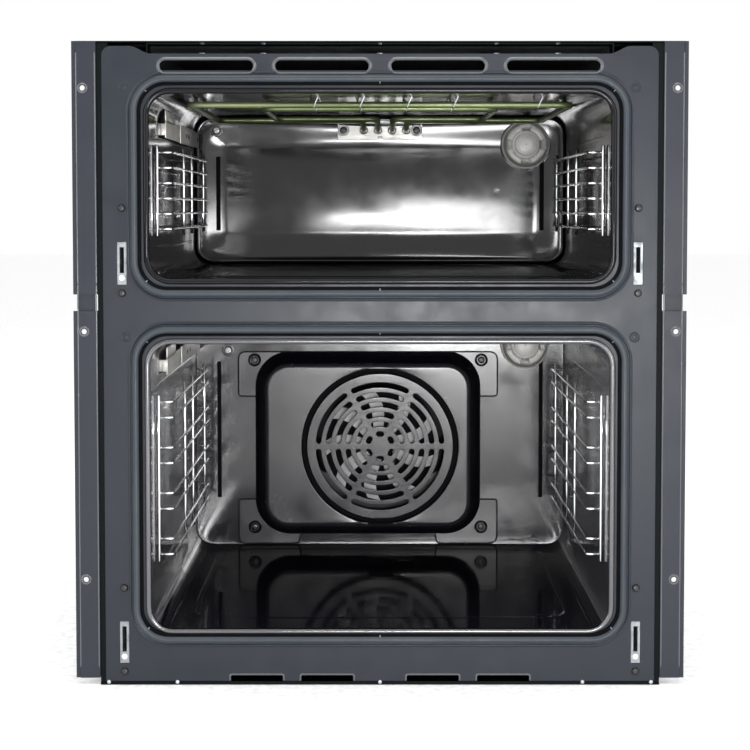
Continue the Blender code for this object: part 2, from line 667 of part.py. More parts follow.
def door_seals():
    """Silicone beads, D-shaped in section, around each opening."""
    half = SEAL_WIDTH / 2
    section = [(-half, 0), (half, 0)]
    for step in range(1, 6):
        angle = math.pi * step / 6
        section.append((half * math.cos(angle), SEAL_PROUD * math.sin(angle) ** 0.8))
    for name, seal in (("upper_door_seal", UPPER_SEAL), ("lower_door_seal", LOWER_SEAL)):
        mesh, rings = bmesh.new(), []
        for across, proud in section:
            outline = seal_outline(seal, half + across, 7)
            depth = FACE - FIT - proud * (1 - FIT / SEAL_PROUD)
            rings.append([mesh.verts.new((x, depth, z)) for x, z in outline])
        for ring, following in zip(rings, rings[1:] + rings[:1]):
            for index in range(len(ring)):
                after = (index + 1) % len(ring)
                mesh.faces.new((ring[index], ring[after], following[after], following[index]))
        smooth(solid(name, mesh, SILICONE))


# --- Cavities and insulation -------------------------------------------------------------------
def cavity(name, span, back_radius, holes):
    """An open-fronted enamelled box with rounded edges and a rolled-out front lip."""
    mesh = bmesh.new()
    add_box(mesh, (-CAVITY_HALF, FACE, span[0]), (CAVITY_HALF, BACK, span[1]))
    along = [edge for edge in mesh.edges if abs(edge.verts[0].co.y - edge.verts[1].co.y) > 0.01]
    bmesh.ops.bevel(mesh, geom=along, offset=CAVITY_RADIUS, segments=6, affect="EDGES", profile=0.5)
    front = [face for face in mesh.faces if all(vert.co.y < FACE + 0.001 for vert in face.verts)]
    bmesh.ops.delete(mesh, geom=front, context="FACES_ONLY")
    rear = [edge for edge in mesh.edges if all(vert.co.y > BACK - 0.001 for vert in edge.verts)]
    bmesh.ops.bevel(mesh, geom=rear, offset=back_radius, segments=2, affect="EDGES", profile=0.5)
    rim = [edge for edge in mesh.edges if edge.is_boundary]
    moved = bmesh.ops.extrude_edge_only(mesh, edges=rim)["geom"]
    middle = (span[0] + span[1]) / 2
    wide = 1 + LIP_ROLL / CAVITY_HALF
    tall = 1 + LIP_ROLL / (span[1] - middle)
    for vert in (item for item in moved if isinstance(item, bmesh.types.BMVert)):
        vert.co.x *= wide
        vert.co.z = middle + (vert.co.z - middle) * tall
    shell = smooth(solid(name, mesh, BLACK_ENAMEL))
    wall = shell.modifiers.new("wall", "SOLIDIFY")
    wall.thickness = ENAMEL
    wall.offset = -1
    wall.use_even_offset = True
    drill = bmesh.new()
    for x, z, radius in holes:
        add_cylinder(drill, (x, BACK + ENAMEL / 2, z), radius, 0.012, "Y", 16 if radius > 0.01 else 10)
    cut(shell, drill)
    return shell


def cover_screws():
    """(x, z) of the fan cover's four corner screws."""
    low, high = COVER_BOTTOM + COVER_SCREW_BOTTOM_INSET, COVER_BOTTOM + COVER_HEIGHT - COVER_SCREW_TOP_INSET
    reach = COVER_WIDTH / 2 - COVER_SCREW_INSET
    return [(COVER_X + side * reach, z) for side in (-1, 1) for z in (low, high)]


def terminal_z():
    return UPPER[1] - TERMINAL_DROP


def terminal_screws():
    """x of the terminal plate's two end screws."""
    reach = TERMINAL_PLATE[0] / 2 - TERMINAL_SCREW_INSET
    return (-reach, reach)


def grill_tails():
    """x of the four element tails, from left to right."""
    return [(index - 1.5) * TERMINAL_PITCH + TERMINAL_SHIFT for index in range(4)]


def ring_tails():
    """(x, z) of the ring element's two tails."""
    spread = 0.012
    return [(-spread, FAN_Z + RING_RADIUS), (spread, FAN_Z + RING_RADIUS)]


def base_tails():
    """x of the base element's two tails."""
    return (-0.020, 0.020)


def cavities():
    lamp_hole = LAMP_HOLDER + 2 * FIT
    grill = [(x, terminal_z(), TUBE + TAIL_HOLE) for x in grill_tails()]
    grill += [(x, terminal_z(), SCREW_SHANK + HOLE_CLEARANCE) for x in terminal_screws()]
    cavity("upper_cavity", UPPER, UPPER_BACK_RADIUS, [(LAMP_X, LAMPS["upper"], lamp_hole)] + grill)
    small = [(x, z, SCREW_SHANK + HOLE_CLEARANCE) for x, z in cover_screws()]
    ring = [(x, z, TUBE + TAIL_HOLE) for x, z in ring_tails()]
    cavity("lower_cavity", LOWER, LOWER_BACK_RADIUS,
           [(LAMP_X, LAMPS["lower"], lamp_hole), (0, FAN_Z, SHAFT_HOLE)] + small + ring)


def blanket(name, span, roof, floor_space, holes):
    """Five-sided mineral-wool jacket around a cavity."""
    side = CAVITY_HALF + ENAMEL + FIT
    low, high = span[0] - ENAMEL - FIT - floor_space, span[1] + ENAMEL + FIT
    front = FACE + INSULATION_SETBACK
    jacket = box(name, (-side - INSULATION, front, low - INSULATION),
                 (side + INSULATION, BAY, high + roof), FLEECE)
    hollow = bmesh.new()
    add_box(hollow, (-side, front - 0.01, low), (side, BACK + ENAMEL + FIT, high))
    cut(jacket, hollow)
    drill = bmesh.new()
    for x, z, radius in holes:
        sides = 12 if radius > 0.01 else 8
        add_cylinder(drill, (x, BAY - INSULATION / 2, z), radius, INSULATION * 1.6, "Y", sides)
    cut(jacket, drill)


def insulation():
    lamp = LAMP_HOLDER + 3 * FIT
    grill = [(x, terminal_z(), TUBE + TAIL_HOLE) for x in grill_tails()]
    grill += [(x, terminal_z(), SCREW_SHANK + 2 * HOLE_CLEARANCE) for x in terminal_screws()]
    blanket("upper_insulation", UPPER, ROOF_INSULATION, 0, [(LAMP_X, LAMPS["upper"], lamp)] + grill)
    ring = [(x, z, TUBE + TAIL_HOLE) for x, z in ring_tails()]
    base = [(x, base_z(), TUBE + TAIL_HOLE) for x in base_tails()]
    small = [(x, z, SCREW_SHANK + 2 * HOLE_CLEARANCE) for x, z in cover_screws()]
    blanket("lower_insulation", LOWER, INSULATION, base_space(),
            [(LAMP_X, LAMPS["lower"], lamp), (0, FAN_Z, SHAFT_HOLE)] + ring + base + small)


# --- Racks ------------------------------------------------------------------------------------
def rack(name, side, rungs):
    """A welded wire ladder: U-shaped rungs on one front post and three rear posts. It hangs
    by its top end, and its foot tilts away from the wall about that line."""
    wall, corner = side * CAVITY_HALF, 0.004
    near, reach = wall - side * RACK_WALL_GAP, wall - side * RACK_REACH
    front, rear = FACE + RACK_FRONT, RACK_REAR
    routes = [bend([(near, front, z), (reach, front, z), (reach, rear, z), (near, rear, z)], corner, 1)
              for z in rungs]
    top, bottom = max(rungs) + RACK_END, min(rungs) - RACK_END
    weld = (RACK_POST + RACK_RUNG) * 0.8
    depths = [front + depth for depth in RACK_POST_DEPTHS] + [rear - RACK_LAST_POST]
    posts = [(near, front - weld)] + [(reach + side * weld, y) for y in depths]
    uprights = [[(x, y, bottom), (x, y, top)] for x, y in posts]
    ladder = as_mesh(wire(name, uprights, RACK_POST, CHROME, resolution=1))
    bars = as_mesh(wire(name + "_rungs", routes, RACK_RUNG, CHROME, resolution=1))
    combine(ladder, bars, "UNION")
    pivot_at(smooth(ladder), (near, front, top))


def racks():
    upper_top = UPPER[1] - UPPER_RACK_TOP_DROP - RACK_END
    lower_top = LOWER[1] - LOWER_RACK_TOP_DROP - RACK_END
    upper = [upper_top - index * UPPER_RUNG_PITCH for index in range(UPPER_RUNGS)]
    lower = [lower_top - pair * LOWER_PAIR_PITCH - offset
             for pair in range(LOWER_RUNG_PAIRS) for offset in (0, LOWER_PAIR_GAP)]
    for label, side in (("left", -1), ("right", 1)):
        rack("upper_rack_" + label, side, upper)
        rack("lower_rack_" + label, side, lower)


# --- Fan cover, fan and motor ---------------------------------------------------------------------
def arc_slot(inner, outer, start, end, steps=5):
    turns = [start + (end - start) * step / steps for step in range(steps + 1)]
    outside = [(outer * math.cos(turn), FAN_Z + outer * math.sin(turn)) for turn in turns]
    inside = [(inner * math.cos(turn), FAN_Z + inner * math.sin(turn)) for turn in reversed(turns)]
    return outside + inside


def grille_slots(front, rear):
    """Concentric arc slots in sectors, centred on the fan's axis."""
    mesh = bmesh.new()
    sector = math.tau / GRILLE_SECTORS
    for ring in range(GRILLE_RINGS):
        outer = GRILLE_OUTER - ring * GRILLE_PITCH
        inner = outer - GRILLE_SLOT
        web = GRILLE_WEB / (outer + inner)
        for index in range(GRILLE_SECTORS):
            middle = (index + 0.5) * sector
            steps = 4 if ring < 3 else 2
            outline = arc_slot(inner, outer, middle - sector / 2 + web, middle + sector / 2 - web, steps)
            add_prism(mesh, outline, front, rear)
    return mesh


def fan_cover():
    """A pressed enamelled cover: corner tabs on the back wall, drafted sides, a raised face
    and the fan's inlet grille."""
    mesh = bmesh.new()
    half_w, half_h = COVER_WIDTH / 2, COVER_HEIGHT / 2
    face_z = COVER_Z + COVER_FACE_RISE
    wide, tall = COVER_FACE_WIDTH / 2, COVER_FACE_HEIGHT / 2
    base = COVER_DRAFT
    sizes = ((half_w, half_h, COVER_Z, COVER_CORNER, COVER_BACK),
             (wide + base, tall + base, face_z, COVER_FACE_RADIUS + base, COVER_BACK),
             (wide, tall, face_z, COVER_FACE_RADIUS, COVER_INSIDE))
    loops = [(rounded(COVER_X - across, COVER_X + across, z - up, z + up, radius), y)
             for across, up, z, radius, y in sizes]
    rings = [[mesh.verts.new((x, y, z)) for x, z in outline] for outline, y in loops]
    for ring, following in zip(rings, rings[1:]):
        for index in range(len(ring)):
            after = (index + 1) % len(ring)
            mesh.faces.new((ring[index], ring[after], following[after], following[index]))
    mesh.faces.new(rings[-1])
    cover = smooth(solid("fan_cover", mesh, BLACK_ENAMEL))
    press = cover.modifiers.new("sheet", "SOLIDIFY")
    press.thickness = COVER_SHEET
    press.offset = -1
    press.use_even_offset = True
    reach, rim = 4 * COVER_SHEET, 3 * COVER_SHEET
    cut(cover, grille_slots(COVER_INSIDE - reach, COVER_INSIDE + reach))
    gaps = bmesh.new()
    low, high = COVER_Z - half_h, COVER_Z + half_h
    for side in (-1, 1):
        edge = sorted((COVER_X + side * (wide + base + rim), COVER_X + side * (half_w + reach)))
        add_box(gaps, (edge[0], COVER_BACK - reach, low + COVER_TAB),
                (edge[1], COVER_BACK + reach, high - COVER_TAB))
    add_box(gaps, (COVER_X - COVER_FOOT_GAP / 2, COVER_BACK - reach, low - reach),
            (COVER_X + COVER_FOOT_GAP / 2, COVER_BACK + reach, face_z - tall - base - rim))
    for x, z in cover_screws():
        add_cylinder(gaps, (x, COVER_BACK, z), SCREW_SHANK + HOLE_CLEARANCE, 2 * reach, "Y", 10)
    cut(cover, gaps)


def fan_cover_screws():
    for index, (x, z) in enumerate(cover_screws()):
        label = ("left_bottom", "left_top", "right_bottom", "right_top")[index]
        screw("fan_cover_screw_" + label, x, COVER_BACK - COVER_SHEET, z, INNER_SCREW_HEAD, INNER_SCREW_LENGTH)


def bladed_wheel(name, centre, radius, blades, height, hub, shaft_end, toward):
    """A wheel of radial blades on a backing disc, with a hub and a shaft behind it."""
    sheet, collar = SHEET, SHAFT * 1.8
    profile = [(0, height), (hub, height), (hub, sheet), (radius, sheet), (radius, 0), (collar, 0),
               (collar, -0.002), (SHAFT, -0.0025), (SHAFT, -shaft_end), (0, -shaft_end)]
    wheel = turned(name, profile, centre, STAINLESS, toward, 20)
    vanes = bmesh.new()
    for index in range(blades):
        turn = Matrix.Rotation(math.tau * index / blades, 4, "Z")
        low = Vector((hub * 0.9, -sheet / 2, sheet / 2))
        high = Vector((radius - sheet, sheet / 2, height - sheet / 2))
        place = turn @ Matrix.Translation((low + high) / 2) @ Matrix.Diagonal((*(high - low), 1))
        bmesh.ops.create_cube(vanes, size=1, matrix=place)
    tool = solid(name + "_blades", vanes, None)
    tool.matrix_world = wheel.matrix_world.copy()
    tool.location, tool.rotation_euler = wheel.location, wheel.rotation_euler
    combine(wheel, tool, "UNION")


def motor(name, centre, radius, length, toward):
    """A can motor with a mounting flange and a blind bore for the shaft in its front face."""
    bore, flange, sheet = SHAFT + SHAFT_CLEAR, radius + 0.008, 0.0015
    profile = [(0, -MOTOR_BORE), (bore, -MOTOR_BORE), (bore, 0), (flange, 0), (flange, -sheet),
               (radius, -sheet), (radius, 0.004 - length), (radius * 0.8, -length), (0, -length)]
    turned(name, profile, centre, MOTOR_STEEL, toward)


def convection_fan():
    motor_front = BAY + FIT
    bladed_wheel("convection_fan", (0, FAN_DISC, FAN_Z), FAN_RADIUS, FAN_BLADES, FAN_DEPTH, FAN_HUB,
                 motor_front - FAN_DISC + MOTOR_BORE - SHAFT_END_GAP, "front")
    motor("convection_fan_motor", (0, motor_front, FAN_Z), MOTOR_RADIUS, MOTOR_LENGTH, "front")


# --- Cooling fan and air duct -------------------------------------------------------------------
def air_duct():
    """Flat sheet duct over the cavities. It blows out through the frame's top vents."""
    front, rear = FACE + SHEET + FIT, REAR - SHEET - FIT - DUCT_REAR_GAP
    duct = box("cooling_air_duct", (-DUCT_HALF, front, DUCT_BOTTOM), (DUCT_HALF, rear, DUCT_TOP), GALVANISED)
    hollow = bmesh.new()
    add_box(hollow, (SHEET - DUCT_HALF, front - 0.01, DUCT_BOTTOM + SHEET),
            (DUCT_HALF - SHEET, rear - SHEET, DUCT_TOP - SHEET))
    cut(duct, hollow)
    inlet = bmesh.new()
    add_cylinder(inlet, (0, COOLING_Y, DUCT_BOTTOM), INLET_RADIUS, 4 * SHEET, "Z", 20)
    cut(duct, inlet)


def cooling_fan():
    motor_top = DUCT_BOTTOM - FIT
    bladed_wheel("cooling_fan", (0, COOLING_Y, ROTOR_DISC), COOLING_RADIUS, COOLING_BLADES, COOLING_HEIGHT,
                 COOLING_HUB, ROTOR_DISC - motor_top + MOTOR_BORE - SHAFT_END_GAP, "up")
    motor("cooling_fan_motor", (0, COOLING_Y, motor_top), COOLING_MOTOR_RADIUS, COOLING_MOTOR_LENGTH, "up")


# --- Heating elements ---------------------------------------------------------------------------
def base_space():
    """Room under the lower cavity's floor for the base element."""
    return 2 * TUBE + 2 * FIT


def base_z():
    return LOWER[0] - ENAMEL - FIT - base_space() / 2


def grill_elements():
    """Two tubes that loop forward under the ceiling from one terminal plate."""
    z, tails = UPPER[1] - GRILL_DROP, grill_tails()
    rear, end, corner = BACK - 0.020, BAY + TAIL_END, 0.012
    loops = (("grill_element_outer", tails[0], tails[3], GRILL_OUTER_GAPS),
             ("grill_element_inner", tails[1], tails[2], GRILL_INNER_GAPS))
    for name, left, right, (beside, before, behind) in loops:
        half, front, back = CAVITY_HALF - beside, FACE + before, BACK - behind
        route = [(left, end, terminal_z()), (left, rear, terminal_z()), (left, back, z),
                 (-half, back, z), (-half, front, z), (half, front, z), (half, back, z),
                 (right, back, z), (right, rear, terminal_z()), (right, end, terminal_z())]
        wire(name, [bend(route, corner, 2)], TUBE, ELEMENT)


def terminal_plate():
    """Steel plate on the back wall that carries the grill tubes."""
    width, height = TERMINAL_PLATE
    z = terminal_z()
    outlines = [rounded(-width / 2, width / 2, z - height / 2, z + height / 2, 0.003, 3)]
    outlines += [circle(x, z, TUBE + TAIL_HOLE / 2, 10) for x in grill_tails()]
    outlines += [circle(x, z, SCREW_SHANK + HOLE_CLEARANCE, 8) for x in terminal_screws()]
    flat("grill_terminal_plate", outlines, BACK - FIT - TERMINAL_SHEET / 2, TERMINAL_SHEET, STAINLESS)
    front = BACK - FIT - TERMINAL_SHEET
    for label, x in zip(("left", "right"), terminal_screws()):
        screw("grill_terminal_screw_" + label, x, front, z, INNER_SCREW_HEAD, INNER_SCREW_LENGTH)


def ring_element():
    """Round element around the convection fan, with its two tails out through the back wall."""
    (left, top), (right, _) = ring_tails()
    y = COVER_INSIDE + FAN_CLEAR + FAN_DEPTH / 2
    gap, steps, corner = math.asin(right / RING_RADIUS), 24, 0.005
    turns = [math.pi / 2 + gap + (math.tau - 2 * gap) * step / steps for step in range(steps + 1)]
    arc = [(RING_RADIUS * math.cos(turn), y, FAN_Z + RING_RADIUS * math.sin(turn)) for turn in turns]
    end = BAY + TAIL_END
    start_tail = bend([(left, end, top), (left, y, top), arc[1]], corner, 3)[:-1]
    end_tail = bend([arc[-2], (right, y, top), (right, end, top)], corner, 3)[1:]
    wire("ring_element", [start_tail + arc[1:-1] + end_tail], TUBE, ELEMENT)


def base_element():
    """Element folded in two loops between the lower cavity's floor and the insulation."""
    z, end, corner = base_z(), BAY + TAIL_END, 0.014
    (left, right), (beside, before, behind) = base_tails(), BASE_GAPS
    half, front, back = CAVITY_HALF - beside, FACE + before, BACK - behind
    fold = back - 0.050
    route = [(left, end, z), (left, back, z), (-half, back, z), (-half, front, z), (-BASE_FOLD, front, z),
             (-BASE_FOLD, fold, z), (BASE_FOLD, fold, z), (BASE_FOLD, front, z), (half, front, z),
             (half, back, z), (right, back, z), (right, end, z)]
    wire("base_element", [bend(route, corner, 2)], TUBE - FIT / 2, ELEMENT)


# --- Lamps and sensor guards ----------------------------------------------------------------------
def lamps():
    """A ceramic holder through the back wall, a bulb, and a glass cap that screws over both."""
    flange, wall, rim = LAMP_COVER_RADIUS - 0.004, 0.004, 0.0023
    cup, inner, front = LAMP_HOLDER - wall, LAMP_COVER_RADIUS - 0.0025, LAMP_COVER_DEPTH
    seat = FIT - LAMP_CUP_DEPTH
    for level, z in LAMPS.items():
        centre = (LAMP_X, BACK, z)
        holder = [(0, -LAMP_CUP_DEPTH), (cup, -LAMP_CUP_DEPTH), (cup, rim), (flange, rim), (flange, FIT),
                  (LAMP_HOLDER, FIT), (LAMP_HOLDER, -LAMP_HOLDER_DEPTH), (0, -LAMP_HOLDER_DEPTH)]
        turned(level + "_lamp_holder", holder, centre, CERAMIC)
        bulb = [(0, 0.0085), (0.005, 0.0075), (0.0085, 0.004), (0.0095, 0), (0.009, -0.005), (0.006, -0.009),
                (0.006, seat), (0, seat)]
        turned(level + "_lamp_bulb", bulb, centre, GLASS, steps=10)
        cap = [(0, front), (0.013, front), (0.0145, front - 0.0015), (LAMP_COVER_RADIUS * 0.72, front - 0.0025),
               (LAMP_COVER_RADIUS * 0.93, front - 0.006), (LAMP_COVER_RADIUS, front - 0.010),
               (LAMP_COVER_RADIUS, 2 * FIT), (inner, 2 * FIT), (inner, front - 0.010),
               (LAMP_COVER_RADIUS * 0.68, front - 0.0055), (0, front - 0.0035)]
        turned(level + "_lamp_cover", cap, centre, GLASS, steps=20)


def sensor_guards():
    """Folded steel strips on the left wall, on two feet, that carry each cavity's temperature
    sensor. A tab at the front end stands up beside the ceiling's curve."""
    wall, outer = FIT - CAVITY_HALF, GUARD_STANDOFF - CAVITY_HALF
    (length, rise), edge = GUARD_TAB, 0.003
    for level, span in (("upper", UPPER), ("lower", LOWER)):
        top = span[1] - CAVITY_RADIUS
        front, rear = FACE + GUARD_FRONT, BACK - UPPER_BACK_RADIUS - FIT
        strip = box(level + "_sensor_guard", (outer, front, top - GUARD_HEIGHT), (outer + SHEET, rear, top),
                    STAINLESS)
        extras = bmesh.new()
        add_box(extras, (outer, front, top - 0.002), (outer + SHEET, front + length, top + rise))
        fuse(strip, extras)
        feet = bmesh.new()
        for y in (front + edge, rear - GUARD_FOOT - edge):
            add_box(feet, (wall, y, top - GUARD_HEIGHT + edge), (outer + SHEET / 2, y + GUARD_FOOT, top - edge))
        fuse(strip, feet)


def build():
    side_panels()
    top_panel()
    base_panel()
    rear_panel()
    terminal_block()
    front_frame()
    trims()
    hinge_receivers()
    frame_screws()
    door_seals()
    cavities()
    insulation()
    racks()
    fan_cover()
    fan_cover_screws()
    convection_fan()
    air_duct()
    cooling_fan()
    grill_elements()
    terminal_plate()
    ring_element()
    base_element()
    lamps()
    sensor_guards()


build()
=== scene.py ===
"""Looks of the double wall oven: finishes for every part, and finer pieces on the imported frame.

Metres, +Z up, the open front faces -Y. Places come from the frame's boxes; the constants below
are sizes of details that the frame doesn't hold.
"""

import json
import math

import bmesh
import bpy
from mathutils import Matrix, Vector

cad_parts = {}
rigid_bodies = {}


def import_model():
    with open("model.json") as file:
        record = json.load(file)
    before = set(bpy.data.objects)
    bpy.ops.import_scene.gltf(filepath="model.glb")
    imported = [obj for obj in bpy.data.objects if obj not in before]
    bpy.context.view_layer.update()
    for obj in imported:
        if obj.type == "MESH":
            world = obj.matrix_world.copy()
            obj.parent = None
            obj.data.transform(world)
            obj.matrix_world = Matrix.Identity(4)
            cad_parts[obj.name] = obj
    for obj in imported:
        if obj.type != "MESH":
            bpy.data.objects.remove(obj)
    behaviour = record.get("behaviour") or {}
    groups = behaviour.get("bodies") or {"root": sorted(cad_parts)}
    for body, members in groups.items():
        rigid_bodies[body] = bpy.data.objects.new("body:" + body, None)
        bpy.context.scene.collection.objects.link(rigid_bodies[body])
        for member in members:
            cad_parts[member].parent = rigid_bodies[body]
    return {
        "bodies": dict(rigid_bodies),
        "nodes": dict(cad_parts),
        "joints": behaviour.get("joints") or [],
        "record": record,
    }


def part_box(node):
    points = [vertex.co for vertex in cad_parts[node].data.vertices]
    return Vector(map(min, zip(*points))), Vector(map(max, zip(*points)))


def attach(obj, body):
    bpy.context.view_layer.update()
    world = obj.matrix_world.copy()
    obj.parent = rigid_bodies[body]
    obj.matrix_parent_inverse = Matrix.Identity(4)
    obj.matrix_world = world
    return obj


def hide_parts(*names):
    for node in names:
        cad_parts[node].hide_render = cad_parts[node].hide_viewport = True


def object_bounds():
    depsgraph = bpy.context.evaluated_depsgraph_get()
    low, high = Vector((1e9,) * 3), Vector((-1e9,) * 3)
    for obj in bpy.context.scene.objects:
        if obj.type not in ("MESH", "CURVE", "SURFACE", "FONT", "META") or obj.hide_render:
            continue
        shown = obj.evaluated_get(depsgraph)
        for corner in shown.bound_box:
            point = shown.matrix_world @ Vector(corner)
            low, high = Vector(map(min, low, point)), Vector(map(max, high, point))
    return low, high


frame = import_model()
CAD_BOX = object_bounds()
NODES = frame["nodes"]
CHASSIS = "chassis"
LEVELS = ("upper", "lower")
SIDES = (("left", -1), ("right", 1))
FORWARD, UP = (0, -1, 0), (0, 0, 1)
QUARTER = math.pi / 2


def side_of(node, axis, end):
    """One coordinate of a node's box: end 0 is the low side and 1 the high side."""
    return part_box(node)[end][axis]


def middle_of(node):
    """Centre of a node's box."""
    low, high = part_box(node)
    return (low + high) / 2


def outline_of(node):
    """(x0, x1, z0, z1) of a node's box, seen from the front."""
    low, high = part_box(node)
    return low.x, high.x, low.z, high.z


# --- Sizes that the frame doesn't hold ---
LIP_ROLL = 0.0037          # cavity wall to the outer edge of its rolled lip
LIP_PROUD = 0.0017
CORNER = 0.022             # cavity's edges that run front to back
BACK_EDGE = {"upper": 0.006, "lower": 0.002}   # radius between the walls and the back
ENAMEL = 0.0014
SHEET = 0.0012
GAP_SHADE_DEPTH = 0.0255            # depth of the painted shade behind the frame's face

# --- Places worked out from the frame ---
FACE = side_of("front_frame", 1, 0)
FRAME_LOW, FRAME_HIGH = side_of("front_frame", 2, 0), side_of("front_frame", 2, 1)
FRAME_HALF = side_of("front_frame", 0, 1)
BACK = side_of("upper_cavity", 1, 1) - ENAMEL
WALL = side_of("upper_cavity", 0, 1) - LIP_ROLL
FAN_Z = middle_of("convection_fan").z
SPANS = {level: (side_of(level + "_cavity", 2, 0) + LIP_ROLL, side_of(level + "_cavity", 2, 1) - LIP_ROLL)
         for level in LEVELS}


# --- Materials ---
class Finish:
    """A Principled material whose colour, roughness and relief come from noise on the piece."""

    def __init__(self, name, colour, roughness, metallic=0.0, **sockets):
        self.material = bpy.data.materials.new(name)
        self.material.use_nodes = True
        self.tree = self.material.node_tree
        self.shader = self.tree.nodes["Principled BSDF"]
        self.shader.inputs["Base Color"].default_value = (*colour, 1.0)
        self.set(self.shader, Roughness=roughness, Metallic=metallic, **sockets)
        self.place = self.node("TexCoord").outputs["Object"]
        self.height = None

    def set(self, node, **values):
        """Sets a node's inputs; an underscore stands for a space in an input's name."""
        for socket, value in values.items():
            node.inputs[socket.replace("_", " ")].default_value = value
        return node

    def node(self, kind, **values):
        return self.set(self.tree.nodes.new("ShaderNode" + kind), **values)

    def link(self, source, target):
        self.tree.links.new(source, target)

    def pattern(self, scale, stretch=(1, 1, 1), detail=3.0, kind="Noise"):
        """Grey pattern with that many cells to the metre, drawn out along an axis by stretch."""
        mapping = self.node("Mapping", Scale=[scale / pull for pull in stretch])
        texture = self.node("Tex" + kind, Scale=1.0)
        self.link(self.place, mapping.inputs["Vector"])
        self.link(mapping.outputs["Vector"], texture.inputs["Vector"])
        if kind == "Noise":
            self.set(texture, Detail=detail)
            return texture.outputs["Fac"]
        return texture.outputs["Color"]

    def colours(self, source, stops):
        """Colour runs through the stops, which are (place, colour) pairs."""
        ramp = self.node("ValToRGB")
        elements = ramp.color_ramp.elements
        while len(elements) < len(stops):
            elements.new(0.5)
        for element, (place, colour) in zip(elements, stops):
            element.position = place
            element.color = (*colour, 1.0)
        self.link(source, ramp.inputs["Fac"])
        self.link(ramp.outputs["Color"], self.shader.inputs["Base Color"])

    def gloss(self, source, smooth, rough):
        """Roughness runs from smooth to rough with the pattern."""
        spread = self.node("MapRange", From_Min=0.3, From_Max=0.7, To_Min=smooth, To_Max=rough)
        self.link(source, spread.inputs["Value"])
        self.link(spread.outputs["Result"], self.shader.inputs["Roughness"])

    def relief(self, source, strength, depth=0.0001):
        """Adds a bump of that depth in metres on top of the reliefs before it."""
        bump = self.node("Bump", Strength=strength, Distance=depth)
        self.link(source, bump.inputs["Height"])
        if self.height:
            self.link(self.height, bump.inputs["Normal"])
        self.height = bump.outputs["Normal"]
        self.link(self.height, self.shader.inputs["Normal"])


def shades(colour, spread):
    """Two stops either side of a colour."""
    dark = tuple(value * (1 - spread) for value in colour)
    light = tuple(value * (1 + spread) for value in colour)
    return (0.3, dark), (0.7, light)


def painted(name, colour, roughness=0.34, ior=1.4):
    """Satin paint on sheet: slight mottling, orange peel and fine grain."""
    made = Finish(name, colour, roughness, IOR=ior)
    made.colours(made.pattern(9), shades(colour, 0.06))
    made.gloss(made.pattern(40), roughness - 0.05, roughness + 0.06)
    made.relief(made.pattern(900, detail=2), 0.25)
    return made.material


def enamelled(name, colour, roughness, ior=1.52, ripple=0.0006):
    """Vitreous enamel: deep gloss, a slow ripple and pale pinhead specks."""
    made = Finish(name, colour, roughness, IOR=ior)
    pale = tuple(value + 0.02 for value in colour)
    made.colours(made.pattern(2600, detail=0), ((0.0, colour), (0.70, colour), (0.78, pale)))
    made.gloss(made.pattern(30), roughness * 0.7, roughness * 1.3)
    made.relief(made.pattern(55, detail=2), 0.30, ripple)
    made.relief(made.pattern(420, detail=2), 0.22, ripple / 6)
    return made.material


def brushed(name, colour, roughness, stretch=(14, 1, 1), metallic=1.0):
    """Rolled or brushed metal with a grain along one axis."""
    made = Finish(name, colour, roughness, metallic)
    grain = made.pattern(1500, stretch, detail=4)
    made.colours(made.pattern(35), shades(colour, 0.10))
    made.gloss(grain, roughness - 0.08, roughness + 0.12)
    made.relief(grain, 0.30, 0.00012)
    return made.material


def plated(name, colour, roughness):
    """Chrome or zinc plating: bright, with faint clouding."""
    made = Finish(name, colour, roughness, 1.0)
    made.colours(made.pattern(60), shades(colour, 0.08))
    made.gloss(made.pattern(180), roughness * 0.7, roughness * 1.5)
    made.relief(made.pattern(700, detail=2), 0.12)
    return made.material


def galvanised():
    """Hot-dip zinc sheet: angular spangle, each crystal a little lighter or darker."""
    zinc = (0.36, 0.375, 0.385)
    made = Finish("galvanised_spangle", zinc, 0.42, 1.0)
    crystal, level = made.pattern(190, kind="Voronoi"), made.node("RGBToBW")
    made.link(crystal, level.inputs["Color"])
    value = level.outputs["Val"]
    made.colours(value, ((0.15, (0.335, 0.350, 0.360)), (0.55, zinc), (0.9, (0.386, 0.401, 0.411))))
    made.gloss(value, 0.40, 0.46)
    made.relief(made.pattern(350, detail=3), 0.15)
    # The sheets' front stretch gets painted shade for the dark gaps behind the frame.
    paint_gap_shade(made)
    return made.material


# Painted shade: dark teal with little sheen, for the gaps and vents behind the frame's face.
GAP_SHADE = {"Base Color": (0.0015, 0.0035, 0.004, 1), "Metallic": (0, 0, 0, 1),
          "Roughness": (0.5, 0.5, 0.5, 1), "Specular IOR Level": (0.08, 0.08, 0.08, 1)}


def paint_gap_shade(made):
    """Painted shade: a near-black coat over the first stretch of the sheets behind the frame, where the
    gaps and vents read dark.
    """
    split, gap_shade_mask = made.node("SeparateXYZ"), made.node("Math")
    gap_shade_mask.operation = "LESS_THAN"
    gap_shade_mask.inputs[1].default_value = FACE + GAP_SHADE_DEPTH
    made.link(made.place, split.inputs["Vector"])
    made.link(split.outputs["Y"], gap_shade_mask.inputs[0])
    for socket, shade_value in GAP_SHADE.items():
        mix = made.node("Mix")
        mix.data_type = "RGBA"
        target = made.shader.inputs[socket]
        if target.is_linked:
            made.link(target.links[0].from_socket, mix.inputs["A"])
        else:
            value = target.default_value
            mix.inputs["A"].default_value = (value, value, value, 1)
        mix.inputs["B"].default_value = shade_value
        made.link(gap_shade_mask.outputs["Value"], mix.inputs["Factor"])
        made.link(mix.outputs["Result"], target)


